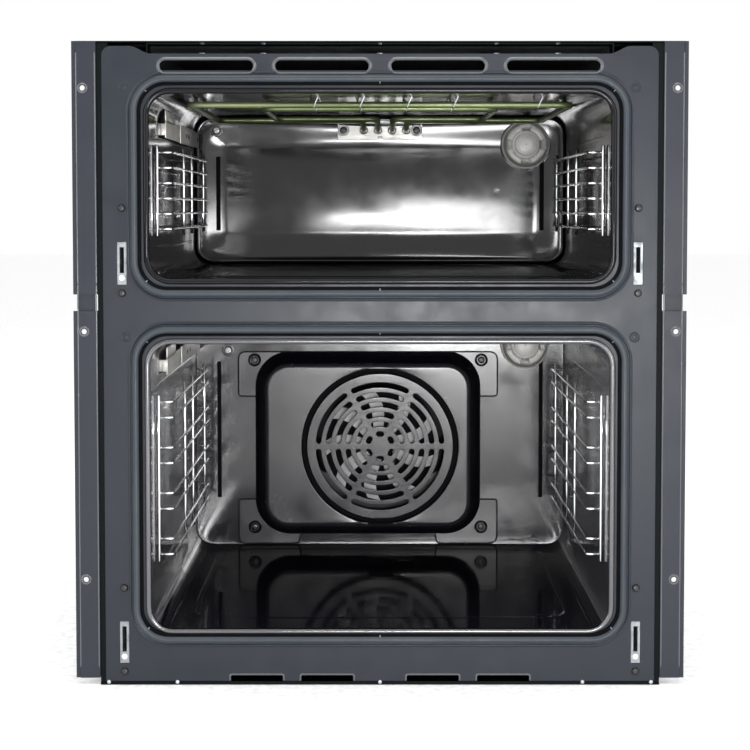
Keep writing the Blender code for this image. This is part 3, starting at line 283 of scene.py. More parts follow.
def rubber():
    """Cured silicone: blue-grey, faint greenish clouding and moulding grain."""
    grey = (0.026, 0.033, 0.042)
    made = Finish("seal_rubber", grey, 0.42, IOR=1.43)
    clouds = (0.3, (0.021, 0.028, 0.038)), (0.55, grey), (0.75, (0.032, 0.041, 0.048))
    made.colours(made.pattern(14), clouds)
    made.gloss(made.pattern(120), 0.34, 0.5)
    made.relief(made.pattern(1300, detail=2), 0.2)
    return made.material


def heated_steel():
    """Element sheath: olive oxide with browner and paler bands along the tube."""
    made = Finish("element_oxide", (0.10, 0.13, 0.05), 0.38, 0.55)
    bands = (0.3, (0.055, 0.070, 0.025)), (0.5, (0.11, 0.14, 0.06)), (0.7, (0.20, 0.23, 0.12))
    made.colours(made.pattern(26, (3, 1, 1)), bands)
    made.gloss(made.pattern(300), 0.28, 0.5)
    made.relief(made.pattern(1600), 0.3)
    return made.material


def cast_glass(name, colour):
    """Pressed borosilicate glass with a finely dimpled, half frosted face."""
    made = Finish(name, colour, 0.26, IOR=1.47, Transmission_Weight=0.12)
    dimples = made.pattern(1500, detail=1)
    made.colours(made.pattern(70), shades(colour, 0.10))
    made.gloss(dimples, 0.18, 0.36)
    made.relief(dimples, 0.45, 0.00025)
    return made.material


def ceramic():
    """Steatite of the lamp holders."""
    cream = (0.66, 0.64, 0.58)
    made = Finish("steatite", cream, 0.55)
    made.colours(made.pattern(160), shades(cream, 0.08))
    made.relief(made.pattern(1200), 0.35, 0.0002)
    return made.material


def fleece():
    """Mineral wool: yellow-brown matted fibres."""
    made = Finish("mineral_wool", (0.50, 0.44, 0.30), 0.95)
    fibres = made.pattern(420, (6, 1, 1), detail=6)
    made.colours(fibres, ((0.3, (0.30, 0.25, 0.15)), (0.7, (0.66, 0.60, 0.44))))
    made.relief(fibres, 0.8, 0.0015)
    return made.material


def moulded(name, colour, roughness=0.5):
    """Moulded plastic, or any even matt stuff."""
    made = Finish(name, colour, roughness)
    made.colours(made.pattern(120), shades(colour, 0.12))
    made.gloss(made.pattern(500), roughness - 0.08, roughness + 0.08)
    made.relief(made.pattern(1500, detail=2), 0.3)
    return made.material


def shade_black_coat():
    """Painted shade: a black coat with next to no sheen, so grooves and gaps read as dark."""
    shade_tone = (0.003, 0.003, 0.004)
    made = Finish("dull_black_coat", shade_tone, 0.7, Specular_IOR_Level=0.08)
    made.colours(made.pattern(120), shades(shade_tone, 0.3))
    made.relief(made.pattern(1500, detail=2), 0.3)
    return made.material


def inner_glass():
    """Clear glass of the bulbs."""
    made = Finish("bulb_glass", (0.9, 0.9, 0.88), 0.08, IOR=1.45, Transmission_Weight=0.9)
    made.gloss(made.pattern(400), 0.05, 0.15)
    return made.material


INK = (0.003, 0.003, 0.005)
PAINT = painted("frame_satin_paint", (0.013, 0.017, 0.024), ior=1.37)
# Painted highlight: a lighter, glossier paint for the light lines on rolled rims, folds and clips.
HIGHLIGHT_PAINT = painted("rolled_edge_paint", (0.060, 0.068, 0.076), 0.22, 1.7)
TRIM_PAINT = painted("trim_satin_paint", (0.015, 0.018, 0.026), 0.40, 1.37)
BLACK_ENAMEL = enamelled("gloss_black_enamel", INK, 0.09, 1.34)
GREY_ENAMEL = enamelled("gloss_grey_enamel", (0.034, 0.034, 0.040), 0.14, 2.0)
BACK_ENAMEL = enamelled("back_wall_enamel", (0.016, 0.016, 0.021), 0.13, 1.60, 0.0002)
PANEL_ENAMEL = enamelled("sunk_panel_enamel", INK, 0.12, 1.5, 0.00005)
FLOOR_ENAMEL = enamelled("floor_enamel", INK, 0.08, 1.12, 0.0003)
COVER_ENAMEL = enamelled("cover_enamel", (0.018, 0.018, 0.023), 0.22, 1.56, 0.0001)
CHROME = plated("rack_chrome_plate", (0.86, 0.86, 0.87), 0.12)
ZINC = plated("bright_zinc", (0.50, 0.53, 0.55), 0.34)
RECEIVER_ZINC = plated("receiver_zinc", (0.26, 0.28, 0.29), 0.5)
SHADE_BLACK = shade_black_coat()
DARK_PLATE = plated("blackened_steel", (0.045, 0.045, 0.048), 0.30)
STEEL = brushed("stainless_sheet", (0.42, 0.415, 0.40), 0.42, metallic=0.9)
STRIP_STEEL = brushed("sensor_strip_sheet", (0.66, 0.65, 0.61), 0.36, (1, 9, 1), 0.35)
FAN_STEEL = brushed("fan_sheet", (0.93, 0.93, 0.93), 0.33, (1, 1, 1), 0.25)
MOTOR = brushed("motor_can", (0.34, 0.35, 0.36), 0.40, (1, 1, 6))
GALVANISED = galvanised()
RUBBER = rubber()
ELEMENT = heated_steel()
GLASS = cast_glass("lamp_glass_pressed", (0.66, 0.65, 0.62))
# Painted shade: a darker copy of the lamp glass for the hollow between rim and centre disc.
GLASS_SHADE = cast_glass("lamp_glass_hollows", (0.16, 0.16, 0.15))
CERAMIC = ceramic()
WOOL = fleece()
BLACK_PLASTIC = moulded("terminal_moulding", (0.022, 0.022, 0.023))
WHITE_PLASTIC = moulded("white_moulding", (0.80, 0.80, 0.78), 0.4)
BULB = inner_glass()
WALL_ENAMEL = {"upper": BLACK_ENAMEL, "lower": GREY_ENAMEL}
BACK_WALL_ENAMEL = {"upper": PANEL_ENAMEL, "lower": BACK_ENAMEL}


# --- Mesh tools ---
def placed(name, data):
    """A new object in the scene."""
    made = bpy.data.objects.new(name, data)
    bpy.context.scene.collection.objects.link(made)
    return made


def piece(name, mesh, finish, body=CHASSIS, replaces=(), angle=40, flat=False):
    """Turns a bmesh into a finished piece on a CAD body; flat keeps broad faces evenly shaded."""
    bmesh.ops.recalc_face_normals(mesh, faces=mesh.faces)
    data = bpy.data.meshes.new(name)
    mesh.to_mesh(data)
    mesh.free()
    made = placed(name, data)
    for one in finish if isinstance(finish, tuple) else (finish,):
        data.materials.append(one)
    data.shade_smooth()
    data.set_sharp_from_angle(angle=math.radians(angle))
    if flat:
        made.modifiers.new("even_faces", "WEIGHTED_NORMAL").keep_sharp = True
    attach(made, body)
    if replaces:
        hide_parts(*replaces)
    return made


def settle(made):
    """Applies a piece's modifiers to its mesh."""
    bpy.context.view_layer.update()
    graph = bpy.context.evaluated_depsgraph_get()
    data = bpy.data.meshes.new_from_object(made.evaluated_get(graph))
    made.modifiers.clear()
    made.data = data
    return made


def merge(mesh, other):
    """Adds another bmesh's geometry to mesh."""
    data = bpy.data.meshes.new("merged")
    other.to_mesh(data)
    other.free()
    mesh.from_mesh(data)
    bpy.data.meshes.remove(data)


def blend(a, b, t):
    return a + (b - a) * t


def spread(first, last, steps):
    """Evenly spaced values from first to last, both included."""
    return [blend(first, last, step / steps) for step in range(steps + 1)]


def smoothstep(t):
    t = min(max(t, 0.0), 1.0)
    return t * t * (3 - 2 * t)


def grown(x0, x1, z0, z1, by):
    """A rectangle with every side moved out."""
    return x0 - by, x1 + by, z0 - by, z1 + by


def arc(x, z, radius, first, last, steps):
    """Points round a centre from one angle to another."""
    return [(x + radius * math.cos(t), z + radius * math.sin(t)) for t in spread(first, last, steps)]


def circle(x, z, radius, steps=32):
    return arc(x, z, radius, 0, math.tau, steps)[:-1]


def corner_arcs(x0, x1, z0, z1, radius, steps):
    """The four corners of a rounded rectangle, anticlockwise from the lower right one."""
    centres = ((x1 - radius, z0 + radius), (x1 - radius, z1 - radius),
               (x0 + radius, z1 - radius), (x0 + radius, z0 + radius))
    return [arc(x, z, radius, (index - 1) * QUARTER, index * QUARTER, steps)
            for index, (x, z) in enumerate(centres)]


def rounded(x0, x1, z0, z1, radius, steps=8):
    """Rounded rectangle as (x, z) pairs."""
    return sum(corner_arcs(x0, x1, z0, z1, radius, steps), [])


def finer(outline, most):
    """The outline with its long stretches split, so that rings of it carry smooth relief."""
    points = []
    for (x0, z0), (x1, z1) in zip(outline, outline[1:] + outline[:1]):
        count = max(1, math.ceil(math.hypot(x1 - x0, z1 - z0) / most))
        points += list(zip(spread(x0, x1, count), spread(z0, z1, count)))[:-1]
    return points


def at_depth(outline, y):
    return [(x, y, z) for x, z in outline]


def cap(mesh, ring, index=0):
    mesh.faces.new(ring).material_index = index


def loft(mesh, rings, closed=False, index=0, capped=False):
    """Faces between rings of the same length; closed joins the last to the first, capped fills both."""
    made = [[mesh.verts.new(point) for point in ring] for ring in rings]
    for ring, following in zip(made, made[1:] + made[:1] if closed else made[1:]):
        for corner in range(len(ring)):
            after = (corner + 1) % len(ring)
            cap(mesh, (ring[corner], ring[after], following[after], following[corner]), index)
    if capped:
        cap(mesh, made[0], index)
        cap(mesh, made[-1], index)
    return made


def turned(profile, centre, steps):
    """Rings round a line toward the front, from (radius, rise) pairs."""
    x, y, z = centre
    return [at_depth(circle(x, z, radius, steps), y - rise) for radius, rise in profile]


def lathe(mesh, profile, centre, steps=32, index=0):
    """A turned shape on a line toward the front, with both ends filled."""
    loft(mesh, turned(profile, centre, steps), index=index, capped=True)


def soft_corner(before, corner, after, radius, steps, share):
    """Points round a corner of a route, which take at most that share of its two sides."""
    sides = before - corner, after - corner
    reach = min(radius, *(side.length * share for side in sides))
    start, end = (corner + side.normalized() * reach for side in sides)
    return [start * (1 - t) ** 2 + corner * 2 * t * (1 - t) + end * t ** 2 for t in spread(0, 1, steps)]


def bend(points, radius, steps=8):
    """A route with each corner rounded."""
    points = [Vector(point) for point in points]
    route = [points[0]]
    for before, corner, after in zip(points, points[1:], points[2:]):
        route += soft_corner(before, corner, after, radius, steps, 0.48)
    return route + [points[-1]]


def direction(path, index, closed):
    """Which way a path runs at one of its points."""
    last = len(path) - 1
    if closed:
        return path[(index + 1) % len(path)] - path[index - 1]
    return path[min(index + 1, last)] - path[max(index - 1, 0)]


def section_frames(path, closed):
    """Two crosswise directions at each point, turned as little as possible."""
    frames, side = [], None
    for index in range(len(path)):
        along = direction(path, index, closed).normalized()
        if side is None:
            side = along.cross(Vector(UP) if abs(along.z) < 0.9 else Vector((1, 0, 0)))
        side = (side - along * side.dot(along)).normalized()
        frames.append((side, along.cross(side)))
    return frames


def sweep(mesh, path, radius, sides=12):
    """A round wire along a path, with domed ends."""
    path = [Vector(point) for point in path]
    frames = section_frames(path, False)

    def section(point, frame, size):
        side, up = frame
        return [point + (side * across + up * rise) * size for across, rise in circle(0, 0, radius, sides)]

    rings = [section(point, frame, 1) for point, frame in zip(path, frames)]
    tips = [path[end] - (path[inward] - path[end]).normalized() * radius * 0.5
            for end, inward in ((0, 1), (-1, -2))]
    rings = [section(tips[0], frames[0], 0.6)] + rings + [section(tips[1], frames[-1], 0.6)]
    loft(mesh, rings, capped=True)


def bead(mesh, path, normal, width, height, closed=False, index=0):
    """A pressed rib with a soft crown along a path on a surface that faces along normal."""
    path, normal = [Vector(point) for point in path], Vector(normal)
    sunk, rings = normal * 0.0004, []
    for place, point in enumerate(path):
        side = direction(path, place, closed).cross(normal).normalized()
        fade = 1.0 if closed or 0 < place < len(path) - 1 else 0.05
        ring = [point + side * width * s + normal * height * fade * math.cos(math.pi * s) ** 2
                for s in spread(-0.5, 0.5, 8)]
        rings.append(ring + [ring[-1] - sunk, ring[0] - sunk])
    loft(mesh, rings, closed, index, capped=not closed)


def ring_bead(mesh, outline, y, width, height, index=0):
    """A closed rib on a face at y that looks forward."""
    bead(mesh, at_depth(outline, y), FORWARD, width, height, True, index)


def plate(outlines, front, thickness, edge):
    """A flat sheet with holes, facing -Y at front, whose edges are all rounded."""
    curve = bpy.data.curves.new("sheet_outline", "CURVE")
    curve.dimensions = "2D"
    curve.fill_mode = "BOTH"
    curve.extrude = thickness / 2 - edge
    curve.bevel_depth = edge
    curve.bevel_resolution = 2
    curve.offset = -edge
    for outline in outlines:
        spline = curve.splines.new("POLY")
        spline.points.add(len(outline) - 1)
        for point, (u, v) in zip(spline.points, outline):
            point.co = (u, v, 0, 1)
        spline.use_cyclic_u = True
    made = placed("sheet_outline", curve)
    bpy.context.view_layer.update()
    data = bpy.data.meshes.new_from_object(made.evaluated_get(bpy.context.evaluated_depsgraph_get()))
    bpy.data.objects.remove(made)
    mesh = bmesh.new()
    mesh.from_mesh(data)
    bmesh.ops.remove_doubles(mesh, verts=mesh.verts, dist=0.000004)
    upright = Matrix.Translation((0, front + thickness / 2, 0)) @ Matrix.Rotation(QUARTER, 4, "X")
    bmesh.ops.transform(mesh, matrix=upright, verts=mesh.verts)
    return mesh


def block(mesh, low, high, edge=0.0004, index=0):
    """A box with softened edges."""
    low, high = Vector(low), Vector(high)
    place = Matrix.Translation((low + high) / 2) @ Matrix.Diagonal((*(high - low), 1))
    made = bmesh.ops.create_cube(mesh, size=1, matrix=place)["verts"]
    edges = list({one for vert in made for one in vert.link_edges})
    bevelled = bmesh.ops.bevel(mesh, geom=edges, offset=edge, segments=2, affect="EDGES", profile=0.5)
    for face in {one for vert in bevelled["verts"] for one in vert.link_faces}:
        face.material_index = index


# --- Cavities ---
DISH_MARGIN = {"upper": 0.034, "lower": 0.010}   # soft border of the pressed back panel
DISH_DEPTH = {"upper": 0.0045, "lower": 0.0}
CROWN = {"upper": 0.0050, "lower": 0.0004}       # how far the panel's middle stands forward of its sides
CORNER_STEPS = 8
LEAST_CORNER = 0.0015
WALL_PITCH = 0.010         # height of the faces on the walls
BORDER_PITCH, BORDER_RINGS = 0.002, 19           # fine rings in the back panel's border
HIDDEN_RADIUS = 0.085      # back wall behind the fan cover's grille, which gets painted shade
WOOL_SET_BACK = 0.005


def cavity_rings(level):
    """(inset, y) of the rings from the lip's outer edge to the edge of the back wall."""
    edge = BACK_EDGE[level]
    rings = [(-LIP_ROLL / 2 * (1 + math.cos(t)), FACE - LIP_PROUD * math.sin(t))
             for t in spread(0, math.pi, 8)]
    rings += [(0.0, FACE + depth) for depth in (0.003, 0.012)]
    rings += [(0.0, y) for y in spread(FACE + 0.05, BACK - edge, 6)]
    rings += [(edge * (1 - math.cos(t)), BACK - edge + edge * math.sin(t))
              for t in spread(0, QUARTER, 6)[1:]]
    return rings


def dish(x, z, level):
    """How far the pressed back panel is sunk back at a place."""
    low, high = SPANS[level]
    across = smoothstep((WALL - abs(x) - BACK_EDGE[level]) / DISH_MARGIN[level])
    upright = smoothstep((min(z - low, high - z) - BACK_EDGE[level]) / DISH_MARGIN[level])
    crown = (1 - (x / WALL) ** 2) * (1 - ((z - (low + high) / 2) / (high - low) * 2) ** 2)
    return CROWN[level] * max(crown, 0) - DISH_DEPTH[level] * across * upright


def wall_ring(level, inset, counts):
    """(x, z) pairs round the cavity, the same number for every inset."""
    edges = grown(-WALL, WALL, *SPANS[level], -inset)
    arcs = corner_arcs(*edges, max(CORNER - inset, LEAST_CORNER), CORNER_STEPS)
    points = []
    for index, one in enumerate(arcs):
        (x0, z0), (x1, z1) = one[-1], arcs[(index + 1) % 4][0]
        count = counts[index % 2]
        points += one + list(zip(spread(x0, x1, count), spread(z0, z1, count)))[1:-1]
    return points


def cavity(level, finish):
    """The enamelled shell. Its finishes are for the walls, the floor and the back wall."""
    low, high = SPANS[level]
    counts = 2 * max(12, round((high - low) / WALL_PITCH)), 60
    rings = [at_depth(wall_ring(level, inset, counts), y) for inset, y in cavity_rings(level)]
    insets = [BACK_EDGE[level] + BORDER_PITCH * step for step in range(1, BORDER_RINGS + 1)]
    insets += spread(insets[-1], (high - low) / 2 - 0.004, 12)[1:]
    for inset in insets:
        rings.append([(x, BACK - dish(x, z, level), z) for x, z in wall_ring(level, inset, counts)])
    mesh = bmesh.new()
    made = loft(mesh, rings)
    middle = CORNER_STEPS + counts[0] // 2
    last = made[-1][middle:] + made[-1][:middle]
    for index in range(1, len(last) // 2):
        cap(mesh, (last[index - 1], last[index], last[-index - 1], last[-index]))
    mesh.normal_update()
    # Behind the fan cover's grille the lower back wall takes the darker floor enamel: painted shade.
    for face in mesh.faces:
        centre = face.calc_center_median()
        if abs(face.normal.y) > 0.7 and centre.y > BACK - 0.012:
            hidden = level == "lower" and math.hypot(centre.x, centre.z - FAN_Z) < HIDDEN_RADIUS
            face.material_index = 1 if hidden else 2
        elif abs(face.normal.z) > 0.7 and centre.z < low + CORNER:
            face.material_index = 1
    shell = piece(level + "_cavity_enamel", mesh, finish, replaces=(level + "_cavity",),
                  angle=60)
    wall = shell.modifiers.new("sheet", "SOLIDIFY")
    wall.thickness = ENAMEL * 0.7
    wall.offset = 1.0
    settle(shell)


def wool_jacket(level):
    """The wool behind a cavity, pressed back where the sunk back panel needs the room."""
    node, mesh = level + "_insulation", bmesh.new()
    mesh.from_mesh(NODES[node].data)
    seat = side_of(level + "_cavity", 1, 1) + 0.002
    for vert in mesh.verts:
        if BACK - 0.002 < vert.co.y < seat:
            vert.co.y += WOOL_SET_BACK
    piece(node + "_jacket", mesh, WOOL, replaces=(node,))


for level in LEVELS:
    cavity(level, (WALL_ENAMEL[level], FLOOR_ENAMEL, BACK_WALL_ENAMEL[level]))
for level in LEVELS:
    wool_jacket(level)


# --- Pressed ribs inside the cavities ---
STRIP_X, STRIP_HALF = 0.1950, 0.0026      # the strip of painted shade behind each rack
RIB_WIDTH, RIB_HEIGHT = 0.010, 0.0012     # on the side walls
TRAY_INSET, TRAY_CORNER = 0.034, 0.030
TRAY_RIB_WIDTH, TRAY_RIB_HEIGHT = 0.012, 0.0016
CORNER_RIB_WIDTH, CORNER_RIB_INSET = 0.007, 0.026


def cavity_ribs(level):
    """Side-wall ribs above and below the rack, and the floor's tray line with its corner ribs."""
    low, inner = SPANS[level][0], WALL - TRAY_INSET
    front, rear = FACE + 0.030, BACK - 0.016
    _, _, rack_low, rack_high = outline_of(level + "_rack_left")
    mesh = bmesh.new()
    for side in (-1, 1):
        for z in (rack_low - 0.012, rack_high + 0.009):
            rib = [(side * WALL, y, z) for y in spread(front, rear, 12)]
            bead(mesh, rib, (-side, 0, 0), RIB_WIDTH, RIB_HEIGHT)
        # A strip of painted shade on the back wall behind each rack.
        block(mesh, (side * STRIP_X - STRIP_HALF, BACK - 0.0012, rack_low),
              (side * STRIP_X + STRIP_HALF, BACK + 0.0002, rack_high), 0.0005, 2)
    tray = finer(rounded(-inner, inner, front + 0.012, rear - 0.012, TRAY_CORNER), 0.03)
    bead(mesh, [(x, y, low) for x, y in tray], UP, TRAY_RIB_WIDTH, TRAY_RIB_HEIGHT, closed=True, index=1)
    for side in (-1, 1):
        for y, toward in ((front + 0.002, 1), (rear - 0.002, -1)):
            for shift in (0.0, 0.016):
                start = Vector((side * (WALL - CORNER_RIB_INSET - shift), y, low))
                end = start + Vector((-side, toward, 0)) * CORNER_RIB_INSET
                bead(mesh, spread(start, end, 6), UP, CORNER_RIB_WIDTH, TRAY_RIB_HEIGHT, index=1)
    piece(level + "_cavity_ribs", mesh, (WALL_ENAMEL[level], FLOOR_ENAMEL, SHADE_BLACK),
          angle=60)


for level in LEVELS:
    cavity_ribs(level)


# --- Front frame ---
OPENINGS = {one["name"]: one["box_m"] for one in frame["record"]["physics"]["openings"]}
EAR_RISE, EAR_WIDTH, EAR_SLOPE, EAR_RADIUS = 0.0073, 0.0265, 0.0213, 0.009
OPENING_SLACK = 0.0005     # the record's openings stand this far inside the real holes
RECEIVER_WIDTH, RECEIVER_HEIGHT, RECEIVER_SLOT_RISE = 0.0085, 0.0406, 0.0113
RECEIVER_GAP = 0.0004
NOTCH_CORNER, NOTCH_RIM = 0.0022, 0.0008
VENT_RIM = 0.0011          # vent's edge to the middle of its rolled rim
SEAL_CORNER, SEAL_RIDGE = 0.035, 0.0022
BOSS_RADIUS = 0.0042
BOSS_INSET = 0.0215        # frame edge to a boss
BOSS_HEIGHTS = (0.0394, 0.2806)  # down from the frame's top
DIMPLE_PROFILE = ((0.0024, 0.00005), (0.0020, 0.0004), (0.0010, 0.00055))   # radius, proud
PIP_PROFILE = ((0.0006, 0.0003), (0.0005, 0.0009))
CLIP_PLACES = (-0.171, -0.112, 0.0, 0.112, 0.171)
RIVET_PLACES = (-0.265, -0.198, 0.0, 0.198, 0.265)
RIVET_PROFILE = ((0.0021, 0.0), (0.0020, 0.0007), (0.0014, 0.0013), (0.0005, 0.0015))
RIVET_Z = 0.0026
HEADER_TOP = FRAME_HIGH - EAR_RISE


def opening(name):
    """(x0, x1, z0, z1) of one of the frame's holes."""
    (x0, _, z0), (x1, _, z1) = OPENINGS[name]
    return grown(x0, x1, z0, z1, OPENING_SLACK)


def receivers():
    """(centre x, low z) of the four slotted hinge receivers."""
    found = []
    for level in LEVELS:
        for label, _ in SIDES:
            x0, x1, z0, _ = opening(f"{level}_hinge_slot_{label}")
            found.append(((x0 + x1) / 2, z0 + OPENING_SLACK - RECEIVER_SLOT_RISE))
    return found


def frame_edge():
    """The frame's edge with its ears, header and the air notches along the bottom."""
    right = []
    for name in ("inner", "outer"):
        x0, x1, _, top = opening("bottom_notch_right_" + name)
        z = top - NOTCH_CORNER
        right.append((x0, FRAME_LOW))
        right += arc(x0 + NOTCH_CORNER, z, NOTCH_CORNER, math.pi, QUARTER, 4)
        right += arc(x1 - NOTCH_CORNER, z, NOTCH_CORNER, QUARTER, 0, 4)
        right.append((x1, FRAME_LOW))
    right.append((FRAME_HALF, FRAME_LOW))
    right += arc(FRAME_HALF - EAR_RADIUS, FRAME_HIGH - EAR_RADIUS, EAR_RADIUS, 0, QUARTER, 12)
    for t in spread(0, 1, 16):
        fall = EAR_RISE * (1 - math.cos(math.pi * t)) / 2
        right.append((FRAME_HALF - EAR_WIDTH - EAR_SLOPE * t, FRAME_HIGH - fall))
    return right + [(-x, z) for x, z in reversed(right)]


def stadium(x0, x1, z0, z1):
    return rounded(x0, x1, z0, z1, (z1 - z0) * 0.499, 12)


def frame_sheet():
    """The painted front sheet with its holes, rolled rims, seal ridges and bosses."""
    outlines, reach = [frame_edge()], LIP_ROLL + 0.0003
    for low, high in SPANS.values():
        outlines.append(rounded(*grown(-WALL, WALL, low, high, reach), CORNER + reach, 12))
    vents = [opening(name) for name in OPENINGS if name.startswith("top_vent")]
    outlines += [stadium(*one) for one in vents]
    for x, low in receivers():
        half = RECEIVER_WIDTH / 2
        hole = grown(x - half, x + half, low, low + RECEIVER_HEIGHT, RECEIVER_GAP)
        outlines.append(rounded(*hole, 0.0008, 3))
    mesh = plate(outlines, FACE, SHEET, 0.00045)
    # The vent and notch rims take the painted highlight.
    for vent in vents:
        ring_bead(mesh, finer(stadium(*grown(*vent, VENT_RIM)), 0.008), FACE, 0.0030, 0.0011, 2)
    for name in (one for one in OPENINGS if one.startswith("bottom_notch")):
        x0, x1, z0, z1 = opening(name)
        x0, x1, foot = x0 - NOTCH_RIM, x1 + NOTCH_RIM, z0 + 0.001
        top = corner_arcs(x0, x1, z0, z1 + NOTCH_RIM, NOTCH_CORNER, 8)
        arch = [(x0, foot)] + (top[1] + top[2])[::-1] + [(x1, foot)]
        bead(mesh, at_depth(arch, FACE), FORWARD, 0.0016, 0.0005, index=2)
    for level in LEVELS:
        ridge = rounded(*grown(*outline_of(level + "_door_seal"), SEAL_RIDGE), SEAL_CORNER + SEAL_RIDGE, 12)
        ring_bead(mesh, finer(ridge, 0.02), FACE, 0.0034, 0.0007)
    for side in (-1, 1):
        for drop in BOSS_HEIGHTS:
            x, z = side * (FRAME_HALF - BOSS_INSET), FRAME_HIGH - drop
            ring_bead(mesh, circle(x, z, BOSS_RADIUS), FACE, 0.0022, 0.0006)
            lathe(mesh, DIMPLE_PROFILE, (x, FACE, z), 20)
            lathe(mesh, PIP_PROFILE, (x, FACE, z), 12, index=1)
    piece("front_frame_sheet", mesh, (PAINT, DARK_PLATE, HIGHLIGHT_PAINT), replaces=("front_frame",),
          flat=True)


def top_clips():
    """Spring clips along the header's top edge, and their mates under the roof sheet."""
    shown, hidden, front = bmesh.new(), bmesh.new(), FACE + 0.0002
    roof = side_of("top_panel", 2, 0)
    for x in CLIP_PLACES:
        block(shown, (x - 0.0028, front, HEADER_TOP - 0.0004),
              (x + 0.0028, FACE + 0.004, HEADER_TOP + 0.0008), 0.0003)
        block(hidden, (x - 0.0022, front, roof - 0.0022), (x + 0.0022, FACE + 0.003, roof), 0.0004)
    # The header clips take the painted highlight.
    piece("header_clips", shown, HIGHLIGHT_PAINT)
    piece("roof_clips", hidden, DARK_PLATE)


def sill_rivets():
    """Rivets along the frame's foot."""
    mesh = bmesh.new()
    for x in RIVET_PLACES:
        lathe(mesh, RIVET_PROFILE, (x, FACE, RIVET_Z), 16)
    piece("sill_rivets", mesh, ZINC)


frame_sheet()
top_clips()
sill_rivets()


# --- Door seals ---
SEAL_PROFILE = ((0.0, 0.0), (0.0002, 0.0018), (0.0012, 0.0043), (0.0028, 0.0055), (0.0046, 0.0057),
                (0.0062, 0.0050), (0.0073, 0.0034), (0.0077, 0.0024), (0.0082, 0.0023), (0.0088, 0.0030),
                (0.0096, 0.0031), (0.0103, 0.0020), (0.0105, 0.0))   # inward, proud
SEAL_LOBE_STEPS = 6        # steps of the profile over the outer lobe; the rest is in shadow and gets painted shade
HOOK_INSET, HOOK_WIRE = 0.0080, 0.00035
HOOK_ARCH = ((-0.0012, 0.0022), (-0.0006, 0.0029), (0.0004, 0.0029), (0.0012, 0.0040))   # outward, proud


def door_seal(level):
    """A silicone bead, and the wire hooks that hold it at its corners and middles."""
    edges, back = outline_of(level + "_door_seal"), side_of(level + "_door_seal", 1, 1)
    x0, x1, z0, z1 = edges
    mesh, rings = bmesh.new(), []
    for inset, proud in SEAL_PROFILE:
        rings.append(at_depth(rounded(*grown(*edges, -inset), SEAL_CORNER - inset, 14), back - proud))
    loft(mesh, rings, closed=True)
    # Past the outer lobe the bead gets painted shade.
    mesh.faces.ensure_lookup_table()
    for face in mesh.faces[SEAL_LOBE_STEPS * len(rings[0]):]:
        face.material_index = 1
    piece(level + "_seal_bead", mesh, (RUBBER, SHADE_BLACK), replaces=(level + "_door_seal",),
          angle=50)
    hooks = bmesh.new()
    slant = math.sqrt(0.5)
    inward = SEAL_CORNER - (SEAL_CORNER - HOOK_INSET) * slant
    spots = [(0, z1 - HOOK_INSET, 0, 1), (0, z0 + HOOK_INSET, 0, -1)]
    for sx, x in ((-1, x0), (1, x1)):
        for sz, z in ((-1, z0), (1, z1)):
            spots.append((x - sx * inward, z - sz * inward, sx * slant, sz * slant))
    for x, z, ux, uz in spots:
        wire = [(x + ux * out, back - rise, z + uz * out) for out, rise in HOOK_ARCH]
        sweep(hooks, bend(wire, 0.0008, 3), HOOK_WIRE, 8)
    piece(level + "_seal_hooks", hooks, ZINC)


for level in LEVELS:
    door_seal(level)


# --- Screws ---
HEAD_RISE = 0.0022
WALL_SCREWS = (("upper", -0.197, 0.018), ("lower", -0.184, 0.042))   # x, and down from the ceiling
WASHER_PROFILE = ((0.0082, -0.001), (0.0082, 0.0008), (0.0072, 0.0012), (0.0045, 0.0010))


def screw_head(mesh, x, y, z, radius, rise, length, turn=0.3):
    """A pan head on the surface at y with a cross recess, and its shank behind."""
    slot, reach, shank = radius * 0.13, radius * 0.56, radius * 0.48
    lathe(mesh, [(radius * 0.60, rise * 0.98), (radius * 0.80, rise * 0.86), (radius * 0.95, rise * 0.5),
                 (radius, 0.0), (shank, 0.0), (shank, -length)], (x, y, z), 24)
    centre, floor = Vector((x, y - rise * 0.985, z)), Vector((0, rise * 0.45, 0))
    for arm in range(4):
        angle = turn + QUARTER * arm
        along = Vector((math.cos(angle), 0, math.sin(angle)))
        across = Vector((-along.z, 0, along.x))
        corners = [centre + along * out + across * aside
                   for out, aside in ((slot, -slot), (reach, -slot), (reach, slot), (slot, slot))]
        loft(mesh, (corners, [point + floor for point in corners]), index=1, capped=True)


def node_screws():
    """A finer head for each screw of the frame."""
    for number, name in enumerate(sorted(name for name in NODES if "screw" in name)):
        (x0, y0, z0), (x1, y1, z1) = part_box(name)
        mesh = bmesh.new()
        screw_head(mesh, (x0 + x1) / 2, y0 + HEAD_RISE, (z0 + z1) / 2, (x1 - x0) / 2, HEAD_RISE,
                   y1 - y0 - HEAD_RISE, turn=0.7 * number)
        piece(name + "_head", mesh, (DARK_PLATE, BLACK_PLASTIC), replaces=(name,))


def wall_screws():
    """One screw on a dark washer at each back wall's upper left."""
    for level, x, drop in WALL_SCREWS:
        z = SPANS[level][1] - drop
        y = BACK - dish(x, z, level)
        mesh = bmesh.new()
        lathe(mesh, WASHER_PROFILE, (x, y, z), 32, index=1)
        screw_head(mesh, x, y - 0.0010, z, 0.0052, 0.0028, 0.001)
        piece(level + "_wall_screw", mesh, (STEEL, DARK_PLATE))


node_screws()
wall_screws()


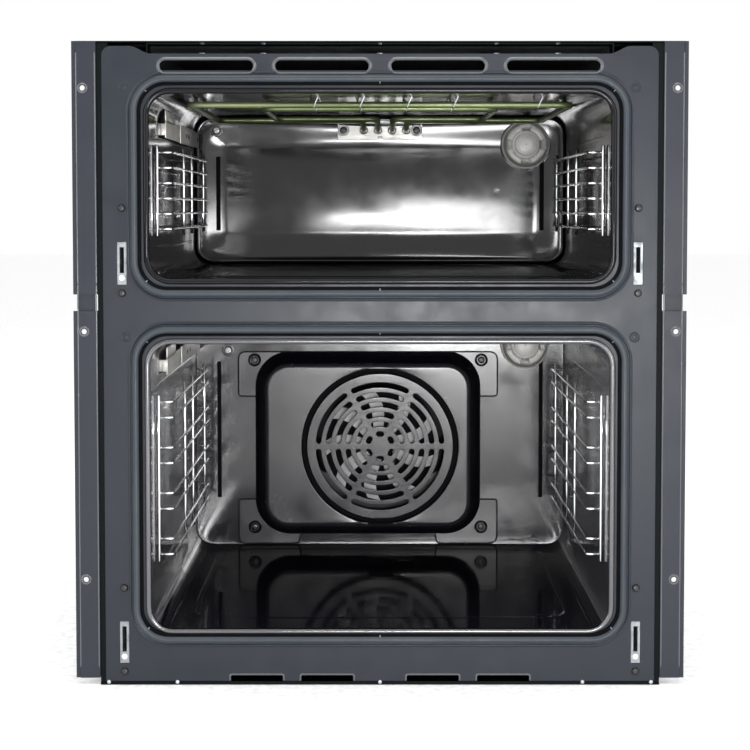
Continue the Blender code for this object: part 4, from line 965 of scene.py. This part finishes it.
# --- Hinge receivers, trims and sensor guards ---
PAD_PROFILE = ((0.0027, 0.0), (0.0027, 0.0006), (0.0020, 0.0011), (0.0008, 0.0013))
PAD_RISE = 0.0062          # receiver's foot to its pad
TRIM_HOLES = {"upper": (CAD_BOX[1].z - 0.045,), "lower": (0.1036, 0.346)}
TRIM_HOLE_INSET = 0.0104
TRIM_LIP = 0.0045
TRIM_END = 0.011           # where the folds stop short of a trim's ends
STRIP_FOOT = 0.018         # height of a sensor strip below its upright tab
TAB_LENGTH = 0.070
SLEEVE = (0.120, 0.255)    # along the strip
STRIP_RIVET = ((0.0026, 0.0), (0.0024, 0.0006), (0.0008, 0.0009))


def receiver_tabs():
    """A rounded moulded pad at the foot of each receiver's slot."""
    mesh = bmesh.new()
    for x, low in receivers():
        lathe(mesh, PAD_PROFILE, (x, FACE, low + PAD_RISE), 24)
    piece("receiver_pads", mesh, WHITE_PLASTIC)


def trim_details():
    """A pressed ring round each trim hole, and the two folds that run down each trim."""
    mesh = bmesh.new()
    for level, heights in TRIM_HOLES.items():
        for label, side in SIDES:
            for z in heights:
                hole = circle(side * (CAD_BOX[1].x - TRIM_HOLE_INSET), z, 0.0042)
                ring_bead(mesh, hole, FACE, 0.0018, 0.0007)
            x0, x1, z0, z1 = outline_of(f"{level}_trim_{label}")
            for x in (max(abs(x0), abs(x1)) - TRIM_LIP, min(abs(x0), abs(x1)) + 0.0010):
                fold = [(side * x, FACE, z) for z in spread(z0 + TRIM_END, z1 - TRIM_END, 4)]
                bead(mesh, fold, FORWARD, 0.0011, 0.0004)
    # The rings and folds take the painted highlight.
    piece("trim_folds", mesh, HIGHLIGHT_PAINT)


def sensor_strip(level):
    """A folded strip on the left wall: an upright tab, a sleeve over its middle and rivets."""
    (x0, y0, z0), (x1, y1, z1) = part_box(level + "_sensor_guard")
    strip, back = z0 + STRIP_FOOT, x1 - 0.0012
    mesh = bmesh.new()
    block(mesh, (back, y0, z0), (x1, y1, strip), 0.0003)
    block(mesh, (back, y0, strip - 0.002), (x1, y0 + TAB_LENGTH, z1), 0.0003)
    block(mesh, (x1 - 0.0008, y0 + SLEEVE[0], z0 - 0.0008),
          (x1 + 0.0006, y0 + SLEEVE[1], strip + 0.0008), 0.0003)
    for foot in (y0 + 0.003, y1 - 0.013):
        block(mesh, (x0, foot, z0 + 0.003), (x1 - 0.0006, foot + 0.010, strip - 0.003), 0.0003)
    sideways = Matrix.Rotation(QUARTER, 4, "Z")
    for y in (y0 + 0.170, y0 + 0.195, y1 - 0.020):
        rivet = bmesh.new()
        lathe(rivet, STRIP_RIVET, (0, 0, 0), 16, index=1)
        place = Matrix.Translation((x1 + 0.0005, y, z0 + STRIP_FOOT / 2)) @ sideways
        bmesh.ops.transform(rivet, verts=rivet.verts, matrix=place)
        merge(mesh, rivet)
    piece(level + "_sensor_strip", mesh, (STRIP_STEEL, DARK_PLATE), replaces=(level + "_sensor_guard",))


receiver_tabs()
trim_details()
for level in LEVELS:
    sensor_strip(level)


# --- Racks ---
RACK_POST, RACK_RUNG = 0.0017, 0.0013      # wire radii
RACK_NEAR, RACK_REACH = 0.0034, 0.018      # cavity wall to the posts' line and to the rungs' long run
RACK_FRONT = 0.042
RACK_POSTS = (0.116, 0.191)                # behind the front post
RACK_LAST_POST = 0.018                     # ahead of the rungs' rear bend
RACK_END = 0.0065
RACK_RUNGS = {"upper": [0.0152 * index for index in range(6)],
              "lower": [0.0458 * pair + gap for pair in range(4) for gap in (0, 0.0157)]}
FLUTE_START, FLUTE_END = STRIP_X - 0.006, STRIP_X - 0.036
FLUTE_WIDTH, FLUTE_HEIGHT, FLUTE_DROP = 0.008, 0.0008, 0.006


def rack(level, label, side):
    """Rungs of one bent wire each, and the posts that they are welded to."""
    node = f"{level}_rack_{label}"
    (_, _, bottom), (_, rear, top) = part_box(node)
    near, reach = side * (WALL - RACK_NEAR), side * (WALL - RACK_REACH)
    front, rear = FACE + RACK_FRONT, rear - RACK_RUNG
    mesh = bmesh.new()
    heights = [top - RACK_END - drop for drop in RACK_RUNGS[level]]
    for z in heights:
        corners = (near, front, z), (reach, front, z), (reach, rear, z), (near, rear, z)
        sweep(mesh, bend(corners, 0.005, 6), RACK_RUNG, 12)
    weld = (RACK_POST + RACK_RUNG) * 0.8
    depths = [front + depth for depth in RACK_POSTS] + [rear - RACK_LAST_POST]
    posts = [(near, front - weld)] + [(reach + side * weld, y) for y in depths]
    for number, (x, y) in enumerate(posts):
        sweep(mesh, [(x, y, z) for z in spread(bottom, top, 4)], RACK_POST, 14)
        for z in heights:
            spot = (x, y + weld / 2, z) if number == 0 else (x - side * weld / 2, y, z)
            bmesh.ops.create_uvsphere(mesh, u_segments=10, v_segments=6, radius=RACK_RUNG * 1.15,
                                      matrix=Matrix.Translation(spot))
    piece(node + "_wires", mesh, CHROME, f"{level}_{label}_rack", (node,), 60)


def wall_flutes(level):
    """Short pressed flutes on the back wall beside each rack, one below each rung."""
    top = side_of(level + "_rack_left", 2, 1) - RACK_END
    lamp_foot = side_of(level + "_lamp_cover", 2, 0) - 0.006
    mesh = bmesh.new()
    for side in (-1, 1):
        for drop in RACK_RUNGS[level]:
            z = top - drop - FLUTE_DROP
            if side > 0 and z > lamp_foot:
                continue
            across = [side * x for x in spread(FLUTE_START, FLUTE_END, 8)]
            flute = [(x, BACK - dish(x, z, level), z) for x in across]
            bead(mesh, flute, FORWARD, FLUTE_WIDTH, FLUTE_HEIGHT)
    piece(level + "_wall_flutes", mesh, BACK_WALL_ENAMEL[level], angle=60)


for level in LEVELS:
    for label, side in SIDES:
        rack(level, label, side)
for level in LEVELS:
    wall_flutes(level)


# --- Fan cover ---
COVER_LOW, COVER_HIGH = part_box("fan_cover")
COVER_X, _, COVER_Z = middle_of("fan_cover")
FLANGE = 0.001             # sheet thickness
FLANGE_FRONT = COVER_HIGH.y - FLANGE
FACE_HALF, FACE_TALL, FACE_RISE, FACE_CORNER, DRAFT = 0.121, 0.096, 0.0063, 0.027, 0.0115
FACE_Z = COVER_Z + FACE_RISE
SHOULDER, FOOT = 0.005, 0.004
COVER_CORNER_STEPS, COVER_SIDE_STEPS = 16, 24
TAB_TALL, FOOT_HALF, TAB_CORNER, SMALL_CORNER = 0.054, 0.080, 0.010, 0.004
GRILLE_EDGE = 0.0875
GROOVE_WIDTH, GROOVE_DEPTH = 0.0066, 0.0080
SLOT_OUTER, SLOT_PITCH, SLOT_HEIGHT, SLOT_WEB, SECTORS, RINGS = 0.077, 0.0118, 0.006, 0.0066, 6, 6


def flange_outline():
    """The flange's edge: four corner tabs, and gaps between them at the sides and the foot."""
    wide = (COVER_HIGH.x - COVER_LOW.x) / 2
    inner = FACE_HALF + DRAFT - SMALL_CORNER
    low, high = COVER_LOW.z, COVER_HIGH.z
    sill = FACE_Z - FACE_TALL - DRAFT + SMALL_CORNER
    right = [(FOOT_HALF, sill), (FOOT_HALF + 0.004, low), (wide, low), (wide, low + TAB_TALL),
             (inner, low + TAB_TALL), (inner, high - TAB_TALL), (wide, high - TAB_TALL), (wide, high)]
    radii = [TAB_CORNER if corner in (2, 7) else SMALL_CORNER for corner in range(len(right))]
    radii += radii[::-1]
    points = [Vector((x, z, 0)) for x, z in right] + [Vector((-x, z, 0)) for x, z in reversed(right)]
    outline, count = [], len(points)
    for index, point in enumerate(points):
        curve = soft_corner(points[index - 1], point, points[(index + 1) % count], radii[index], 6, 0.45)
        outline += [(COVER_X + place.x, place.y) for place in curve]
    return outline


def slot_outline(middle, centre, reach, steps):
    """A slot along a ring of the grille, with round ends."""
    half, first, last = SLOT_HEIGHT / 2, centre - reach, centre + reach
    ends = [arc(middle * math.cos(t), FAN_Z + middle * math.sin(t), half, start, start + math.pi, 6)[1:-1]
            for t, start in ((last, last), (first, first + math.pi))]
    return (arc(0, FAN_Z, middle + half, first, last, steps) + ends[0]
            + arc(0, FAN_Z, middle - half, last, first, steps) + ends[1])


def grille_outlines():
    """The grille's disc and its rings of slots."""
    outlines, sector = [circle(0, FAN_Z, GRILLE_EDGE, 96)], math.tau / SECTORS
    for ring in range(RINGS):
        middle = SLOT_OUTER - ring * SLOT_PITCH - SLOT_HEIGHT / 2
        reach = sector / 2 - (SLOT_WEB + SLOT_HEIGHT) / 2 / middle
        steps = max(4, round(14 * middle / SLOT_OUTER))
        outlines += [slot_outline(middle, (index + 0.5) * sector, reach, steps) for index in range(SECTORS)]
    return outlines


def finer_evenly(outline):
    """Splits a rounded rectangle's straight stretches into equal counts, so that rings match."""
    points = []
    for index, ((x0, z0), (x1, z1)) in enumerate(zip(outline, outline[1:] + outline[:1])):
        straight = index % (COVER_CORNER_STEPS + 1) == COVER_CORNER_STEPS
        count = COVER_SIDE_STEPS if straight else 1
        points += list(zip(spread(x0, x1, count), spread(z0, z1, count)))[:-1]
    return points


def cover_shell():
    """Drafted sides, the raised face and the ring groove around the grille."""
    front, back, mesh = COVER_LOW.y, FLANGE_FRONT, bmesh.new()
    rows = [(DRAFT + FOOT, back), (DRAFT + FOOT * 0.5, back - FOOT * 0.15), (DRAFT, back - FOOT * 0.6),
            (DRAFT * 0.25, blend(back, front, 0.72))]
    rows += [(DRAFT * 0.25 - SHOULDER * 1.2 * (1 - math.cos(t)), front + SHOULDER * (1 - math.sin(t)))
             for t in spread(0, QUARTER, 6)[1:]]
    face = COVER_X - FACE_HALF, COVER_X + FACE_HALF, FACE_Z - FACE_TALL, FACE_Z + FACE_TALL
    rings = []
    for out, y in rows:
        outline = rounded(*grown(*face, out), FACE_CORNER + out, COVER_CORNER_STEPS)
        rings.append(at_depth(finer_evenly(outline), y))
    angles = [math.atan2(z - FAN_Z, x) for x, _, z in rings[-1]]
    outer, floor = GRILLE_EDGE + GROOVE_WIDTH, front + GROOVE_DEPTH
    groove = [(outer + 0.0010, front), (outer, front + 0.0006), (outer - 0.0008, floor),
              (GRILLE_EDGE + 0.0008, floor), (GRILLE_EDGE, front + 0.0006), (GRILLE_EDGE - 0.0010, front)]
    for radius, y in groove:
        rings.append([(radius * math.cos(t), y, FAN_Z + radius * math.sin(t)) for t in angles])
    loft(mesh, rings)
    # Painted shade in the groove round the grille; the drafted sides take the black enamel, darker than the
    # face, as a painted reflection of the dark cavity.
    for face in mesh.faces:
        centre = face.calc_center_median()
        if GRILLE_EDGE < math.hypot(centre.x, centre.z - FAN_Z) < outer:
            face.material_index = 2
        elif centre.y > front + 0.0045:
            face.material_index = 1
    return mesh


def fan_cover():
    """Flange, raised face and grille as one pressing, with a ring round each screw."""
    mesh = plate([flange_outline()], FLANGE_FRONT, FLANGE, 0.0004)
    merge(mesh, cover_shell())
    merge(mesh, plate(grille_outlines(), COVER_LOW.y, 0.0012, 0.0005))
    ring_bead(mesh, flange_outline(), FLANGE_FRONT, 0.0018, 0.0009)
    for name in (one for one in NODES if one.startswith("fan_cover_screw")):
        x, _, z = middle_of(name)
        ring_bead(mesh, circle(x, z, 0.0066), FLANGE_FRONT, 0.0028, 0.0008, 1)
    piece("fan_cover_pressing", mesh, (COVER_ENAMEL, BLACK_ENAMEL, SHADE_BLACK), replaces=("fan_cover",),
          angle=35, flat=True)


fan_cover()


# --- Fans ---
WHEEL_BLADES, BLADE_LEAN, BLADE_SWEEP, BLADE_HALF = 9, 0.018, 0.30, 0.0005
BLADE_ROOT = 0.018
DISC_DEPTH = 0.013         # wheel's front to its disc
HUB_PROFILE = ((0.0105, 0.0002), (0.0105, 0.0034), (0.0100, 0.0075), (0.0045, 0.0080),
               (0.0042, 0.0110), (0.0030, 0.0118))
SHAFT_RADIUS = 0.003


def blade_rings(start, radius, disc):
    """Sections of one blade from its root to its tip."""
    rings = []
    for t in spread(0, 1, 8):
        away = blend(BLADE_ROOT, radius - 0.0015, t)
        angle = start + BLADE_SWEEP * t * t
        tip = angle + BLADE_LEAN / (away + 0.012)
        low = Vector((away * math.cos(angle), disc, FAN_Z + away * math.sin(angle)))
        high = Vector((away * math.cos(tip), disc - blend(0.0080, 0.0122, t), FAN_Z + away * math.sin(tip)))
        across = (high - low).cross(Vector((low.x, 0, low.z - FAN_Z))).normalized() * BLADE_HALF
        rings.append([low - across, low + across, high + across, high - across])
    return rings


def convection_wheel():
    """A pressed wheel: broad blades folded forward from a dark disc, each leaning back at its tip."""
    (x0, y0, _), (x1, y1, _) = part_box("convection_fan")
    radius, mesh, disc = (x1 - x0) / 2, bmesh.new(), y0 + DISC_DEPTH
    # The disc is painted with the shade black.
    lathe(mesh, [(radius, -0.0012), (radius, 0.0), (radius * 0.96, 0.0003), (radius * 0.30, 0.0003),
                 (radius * 0.26, 0.003)], (0, disc, FAN_Z), 48, index=1)
    lathe(mesh, HUB_PROFILE, (0, disc, FAN_Z), 32)
    lathe(mesh, [(SHAFT_RADIUS, 0.0), (SHAFT_RADIUS, disc - y1)], (0, disc, FAN_Z), 24)
    for index in range(WHEEL_BLADES):
        loft(mesh, blade_rings(math.tau * index / WHEEL_BLADES, radius, disc), capped=True)
    piece("convection_fan_wheel", mesh, (FAN_STEEL, SHADE_BLACK), "convection_fan", ("convection_fan",))


convection_wheel()


# --- Heating elements and the terminal plate ---
TUBE = 0.0032              # radius
GRILL_Z = side_of("grill_element_outer", 2, 1) - TUBE + 0.0002
TERMINAL_LOW, TERMINAL_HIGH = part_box("grill_terminal_plate")
TERMINAL_Z = middle_of("grill_terminal_plate").z
TAILS = [(index - 1.5) * 0.017 + 0.006 for index in range(4)]
GRILL_SPANS = {"outer": (0.190, -0.214, 0.0891), "inner": (0.120, -0.149, 0.0591)}   # half, front, back
HANGERS, HANGER_WIRE = (-0.066, -0.020, 0.027, 0.073, 0.157), 0.0007
NOTCH_HALF, NOTCH_RISE = 0.0028, 0.0045
TERMINAL_SCREW_X = 0.044


def grill_tube(name, left, right):
    """One heating tube: a flat loop under the ceiling whose two tails go back to the terminals."""
    half, front, back = GRILL_SPANS[name]
    node, rear = "grill_element_" + name, BACK - 0.020
    end = side_of(node, 1, 1)
    route = [(left, end, TERMINAL_Z), (left, rear, TERMINAL_Z)]
    route += [(x, y, GRILL_Z) for x, y in ((left, back), (-half, back), (-half, front), (half, front),
                                           (half, back), (right, back))]
    route += [(right, rear, TERMINAL_Z), (right, end, TERMINAL_Z)]
    mesh = bmesh.new()
    sweep(mesh, bend(route, 0.012, 8), TUBE, 20)
    piece(node + "_tube", mesh, ELEMENT, replaces=(node,), angle=60)


def grill_hangers():
    """Bent wire hangers that hold the grill tubes' front runs up to the ceiling."""
    ceiling, mesh = SPANS["upper"][1], bmesh.new()
    drop, reach = GRILL_Z - TUBE - 0.0008, TUBE + 0.0008
    for x in HANGERS:
        for half, front, _ in GRILL_SPANS.values():
            if abs(x) > half:
                continue
            hook = [(x - 0.004, front + reach + 0.003, ceiling), (x - 0.001, front + reach, GRILL_Z),
                    (x, front + reach * 0.7, drop + 0.001), (x, front, drop),
                    (x, front - reach * 0.7, drop + 0.001), (x + 0.001, front - reach, GRILL_Z),
                    (x + 0.005, front - reach - 0.003, ceiling)]
            sweep(mesh, bend(hook, 0.002, 4), HANGER_WIRE, 8)
    piece("grill_hangers", mesh, ZINC)


def terminal_plate():
    """The notched plate that the tubes' tails pass through."""
    low, high = TERMINAL_LOW, TERMINAL_HIGH
    edge = [(-NOTCH_HALF, low.z), (-NOTCH_HALF, low.z + NOTCH_RISE), (NOTCH_HALF, low.z + NOTCH_RISE),
            (NOTCH_HALF, low.z)] + rounded(low.x, high.x, low.z, high.z, 0.003, 6)
    outlines = [edge] + [circle(x, TERMINAL_Z, TUBE + 0.0004, 20) for x in TAILS]
    mesh = plate(outlines, low.y, high.y - low.y, 0.0004)
    for x in TAILS:
        ring_bead(mesh, circle(x, TERMINAL_Z, TUBE + 0.0012, 24), low.y, 0.0016, 0.0009)
    for side in (-1, 1):
        ring_bead(mesh, circle(side * TERMINAL_SCREW_X, TERMINAL_Z, 0.0060, 28), low.y, 0.0022, 0.0005)
    for start, end in ((low.x + 0.003, -NOTCH_HALF - 0.002), (NOTCH_HALF + 0.002, high.x - 0.003)):
        block(mesh, (start, low.y - 0.0002, low.z - 0.0001), (end, low.y + 0.0034, low.z + 0.0011))
    piece("terminal_plate_pressing", mesh, STEEL, replaces=("grill_terminal_plate",),
          flat=True)


grill_tube("outer", TAILS[0], TAILS[3])
grill_tube("inner", TAILS[1], TAILS[2])
grill_hangers()
terminal_plate()


# --- Lamps ---
LAMP_STEPS = 48
LAMP_SHADE_STEPS = (4, 9)     # steps of the profile in the hollow between rim and centre disc, which get painted shade
PAD_INNER, PAD_HALF_ANGLE, PAD_SLOPE = 0.0165, 0.52, 0.0010


def sector_pad(mesh, centre, inner, outer, middle, low, high):
    """A raised pad between two radii, with its sides drawn in toward its top."""
    x, y, z = centre
    rings = []
    for shrink, rise in ((0.0, low), (PAD_SLOPE * 0.3, high - PAD_SLOPE * 0.6), (PAD_SLOPE, high)):
        a, b = inner + shrink, outer - shrink
        half = PAD_HALF_ANGLE - shrink / ((a + b) / 2)
        first, last = middle - half, middle + half
        outline = arc(x, z, b, first, last, 8) + arc(x, z, a, last, first, 8)
        rings.append(at_depth(outline, y - rise))
    loft(mesh, rings, capped=True)


def lamp(level):
    """The pressed glass cover with its rim, hollow, centre disc and four pads, and a reflector."""
    (x0, y0, z0), (x1, y1, z1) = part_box(level + "_lamp_cover")
    centre, radius, depth = ((x0 + x1) / 2, y1, (z0 + z1) / 2), (x1 - x0) / 2, y1 - y0
    profile = [(radius - 0.0022, 0.0), (radius, 0.0)]
    profile += [(size, depth - drop) for size, drop in (
        (radius, 0.0075), (radius * 0.985, 0.0058), (radius * 0.94, 0.0048), (radius * 0.88, 0.0056),
        (radius * 0.84, 0.0062), (radius * 0.55, 0.0052), (0.0137, 0.0046), (0.0133, 0.0010),
        (0.0122, 0.0002), (0.0060, 0.0), (0.0008, 0.0),
        (0.0008, 0.0034), (0.0125, 0.0036), (radius * 0.84, 0.0088), (radius - 0.0024, 0.0110))]
    mesh = bmesh.new()
    loft(mesh, turned(profile, centre, LAMP_STEPS), closed=True)
    # The hollow gets the painted shade.
    mesh.faces.ensure_lookup_table()
    first, last = (LAMP_STEPS * step for step in LAMP_SHADE_STEPS)
    for face in mesh.faces[first:last]:
        face.material_index = 1
    for index in range(4):
        middle = QUARTER * (index + 0.5)
        sector_pad(mesh, centre, PAD_INNER, radius * 0.82, middle, depth - 0.0075, depth - 0.0022)
    piece(level + "_lamp_glass", mesh, (GLASS, GLASS_SHADE), level + "_lamp_cap", (level + "_lamp_cover",),
          45)
    reflector, rim = bmesh.new(), radius - 0.003
    lathe(reflector, [(rim, 0.0004), (rim, 0.0012), (0.017, 0.0008), (0.011, 0.0005)], centre, 40)
    piece(level + "_lamp_reflector", reflector, STEEL)


for level in LEVELS:
    lamp(level)


# --- Finishes of the parts that stay as they are in the frame ---
def dress(finish, edge, *names):
    """Gives CAD nodes their finish and softens their edges with a modifier."""
    for node in (NODES[name] for name in names):
        node.data.materials.clear()
        node.data.materials.append(finish)
        if edge:
            soften = node.modifiers.new("soft_edges", "BEVEL")
            soften.width = edge
            soften.segments = 2
            soften.limit_method = "ANGLE"
            soften.angle_limit = math.radians(40)
            soften.harden_normals = False


for label, _ in SIDES:
    dress(GALVANISED, 0.0003, "side_panel_" + label)
    for level in LEVELS:
        dress(TRIM_PAINT, 0.0004, f"{level}_trim_{label}")
        dress(RECEIVER_ZINC, 0.0003, f"{level}_hinge_receiver_{label}")
for level in LEVELS:
    dress(CERAMIC, 0, level + "_lamp_holder")
    dress(BULB, 0, level + "_lamp_bulb")
dress(GALVANISED, 0.0002, "top_panel", "base_panel", "rear_panel", "cooling_air_duct")
dress(BLACK_PLASTIC, 0.0006, "mains_terminal_block")
dress(MOTOR, 0, "convection_fan_motor", "cooling_fan_motor")
dress(FAN_STEEL, 0, "cooling_fan")
dress(ELEMENT, 0, "ring_element", "base_element")


# --- Camera, light and floor ---
CAMERA_DISTANCE = 1.6      # in front of the frame's face
CAMERA_HEIGHT = 0.468
SEEN_WIDTH = 0.7245        # width of the picture at the frame's face
SENSOR = 36.0
SHIFT_X, SHIFT_Y = -0.0067, -0.12
PICTURE_CENTRE_Z = 0.3043
FLOOR_HALF, FLOOR_DROP = 14, 0.0005
SOFTBOXES = (   # name, place, aim, width, height, power
    ("highlight_box", (0.26, -2.05, 0.27), (0, FACE, 0.40), 0.40, 0.30, 11),
    ("rail_box", (0.02, -2.1, 0.245), (0, FACE, 0.36), 0.40, 0.06, 7),
    ("overhead_box", (0, -0.6, 2.6), (0, 0, 0.3), 2.0, 1.6, 30),
    ("left_box", (-2.2, -1.6, 1.2), (0, 0, 0.3), 1.0, 1.6, 18),
    ("right_box", (2.2, -1.6, 1.2), (0, 0, 0.3), 1.0, 1.6, 18),
)


def aimed(made, place, aim):
    """Puts a camera or light at a place and turns it to look at aim."""
    made.location = place
    made.rotation_euler = (Vector(aim) - Vector(place)).to_track_quat("-Z", "Y").to_euler()


def camera():
    """The photo's view: square on, with the lens shifted down."""
    data = bpy.data.cameras.new("front_camera")
    data.sensor_width = SENSOR
    data.lens = SENSOR * CAMERA_DISTANCE / SEEN_WIDTH
    data.shift_x, data.shift_y = SHIFT_X, SHIFT_Y
    made = placed("front_camera", data)
    aim = PICTURE_CENTRE_Z - SHIFT_Y * SEEN_WIDTH
    aimed(made, (0, FACE - CAMERA_DISTANCE, CAMERA_HEIGHT), (0, FACE, aim))
    bpy.context.scene.camera = made


def softbox(name, place, aim, width, height, power):
    data = bpy.data.lights.new(name, "AREA")
    data.shape = "RECTANGLE"
    data.size, data.size_y, data.energy = width, height, power
    aimed(placed(name, data), place, aim)


def surroundings():
    """A pale room and floor, and the softboxes."""
    world = bpy.data.worlds.new("pale_room")
    bpy.context.scene.world = world
    bpy.context.scene.view_settings.view_transform = "Standard"
    world.use_nodes = True
    shader = world.node_tree.nodes["Background"]
    shader.inputs["Color"].default_value = (1.0, 1.0, 1.0, 1.0)
    shader.inputs["Strength"].default_value = 1.0
    mesh = bmesh.new()
    bmesh.ops.create_grid(mesh, x_segments=8, y_segments=8, size=FLOOR_HALF)
    data = bpy.data.meshes.new("floor")
    mesh.to_mesh(data)
    mesh.free()
    floor = placed("floor", data)
    floor.location.z = -FLOOR_DROP
    data.materials.append(moulded("pale_floor", (0.96, 0.96, 0.96), 0.7))
    for one in SOFTBOXES:
        softbox(*one)


camera()
surroundings()
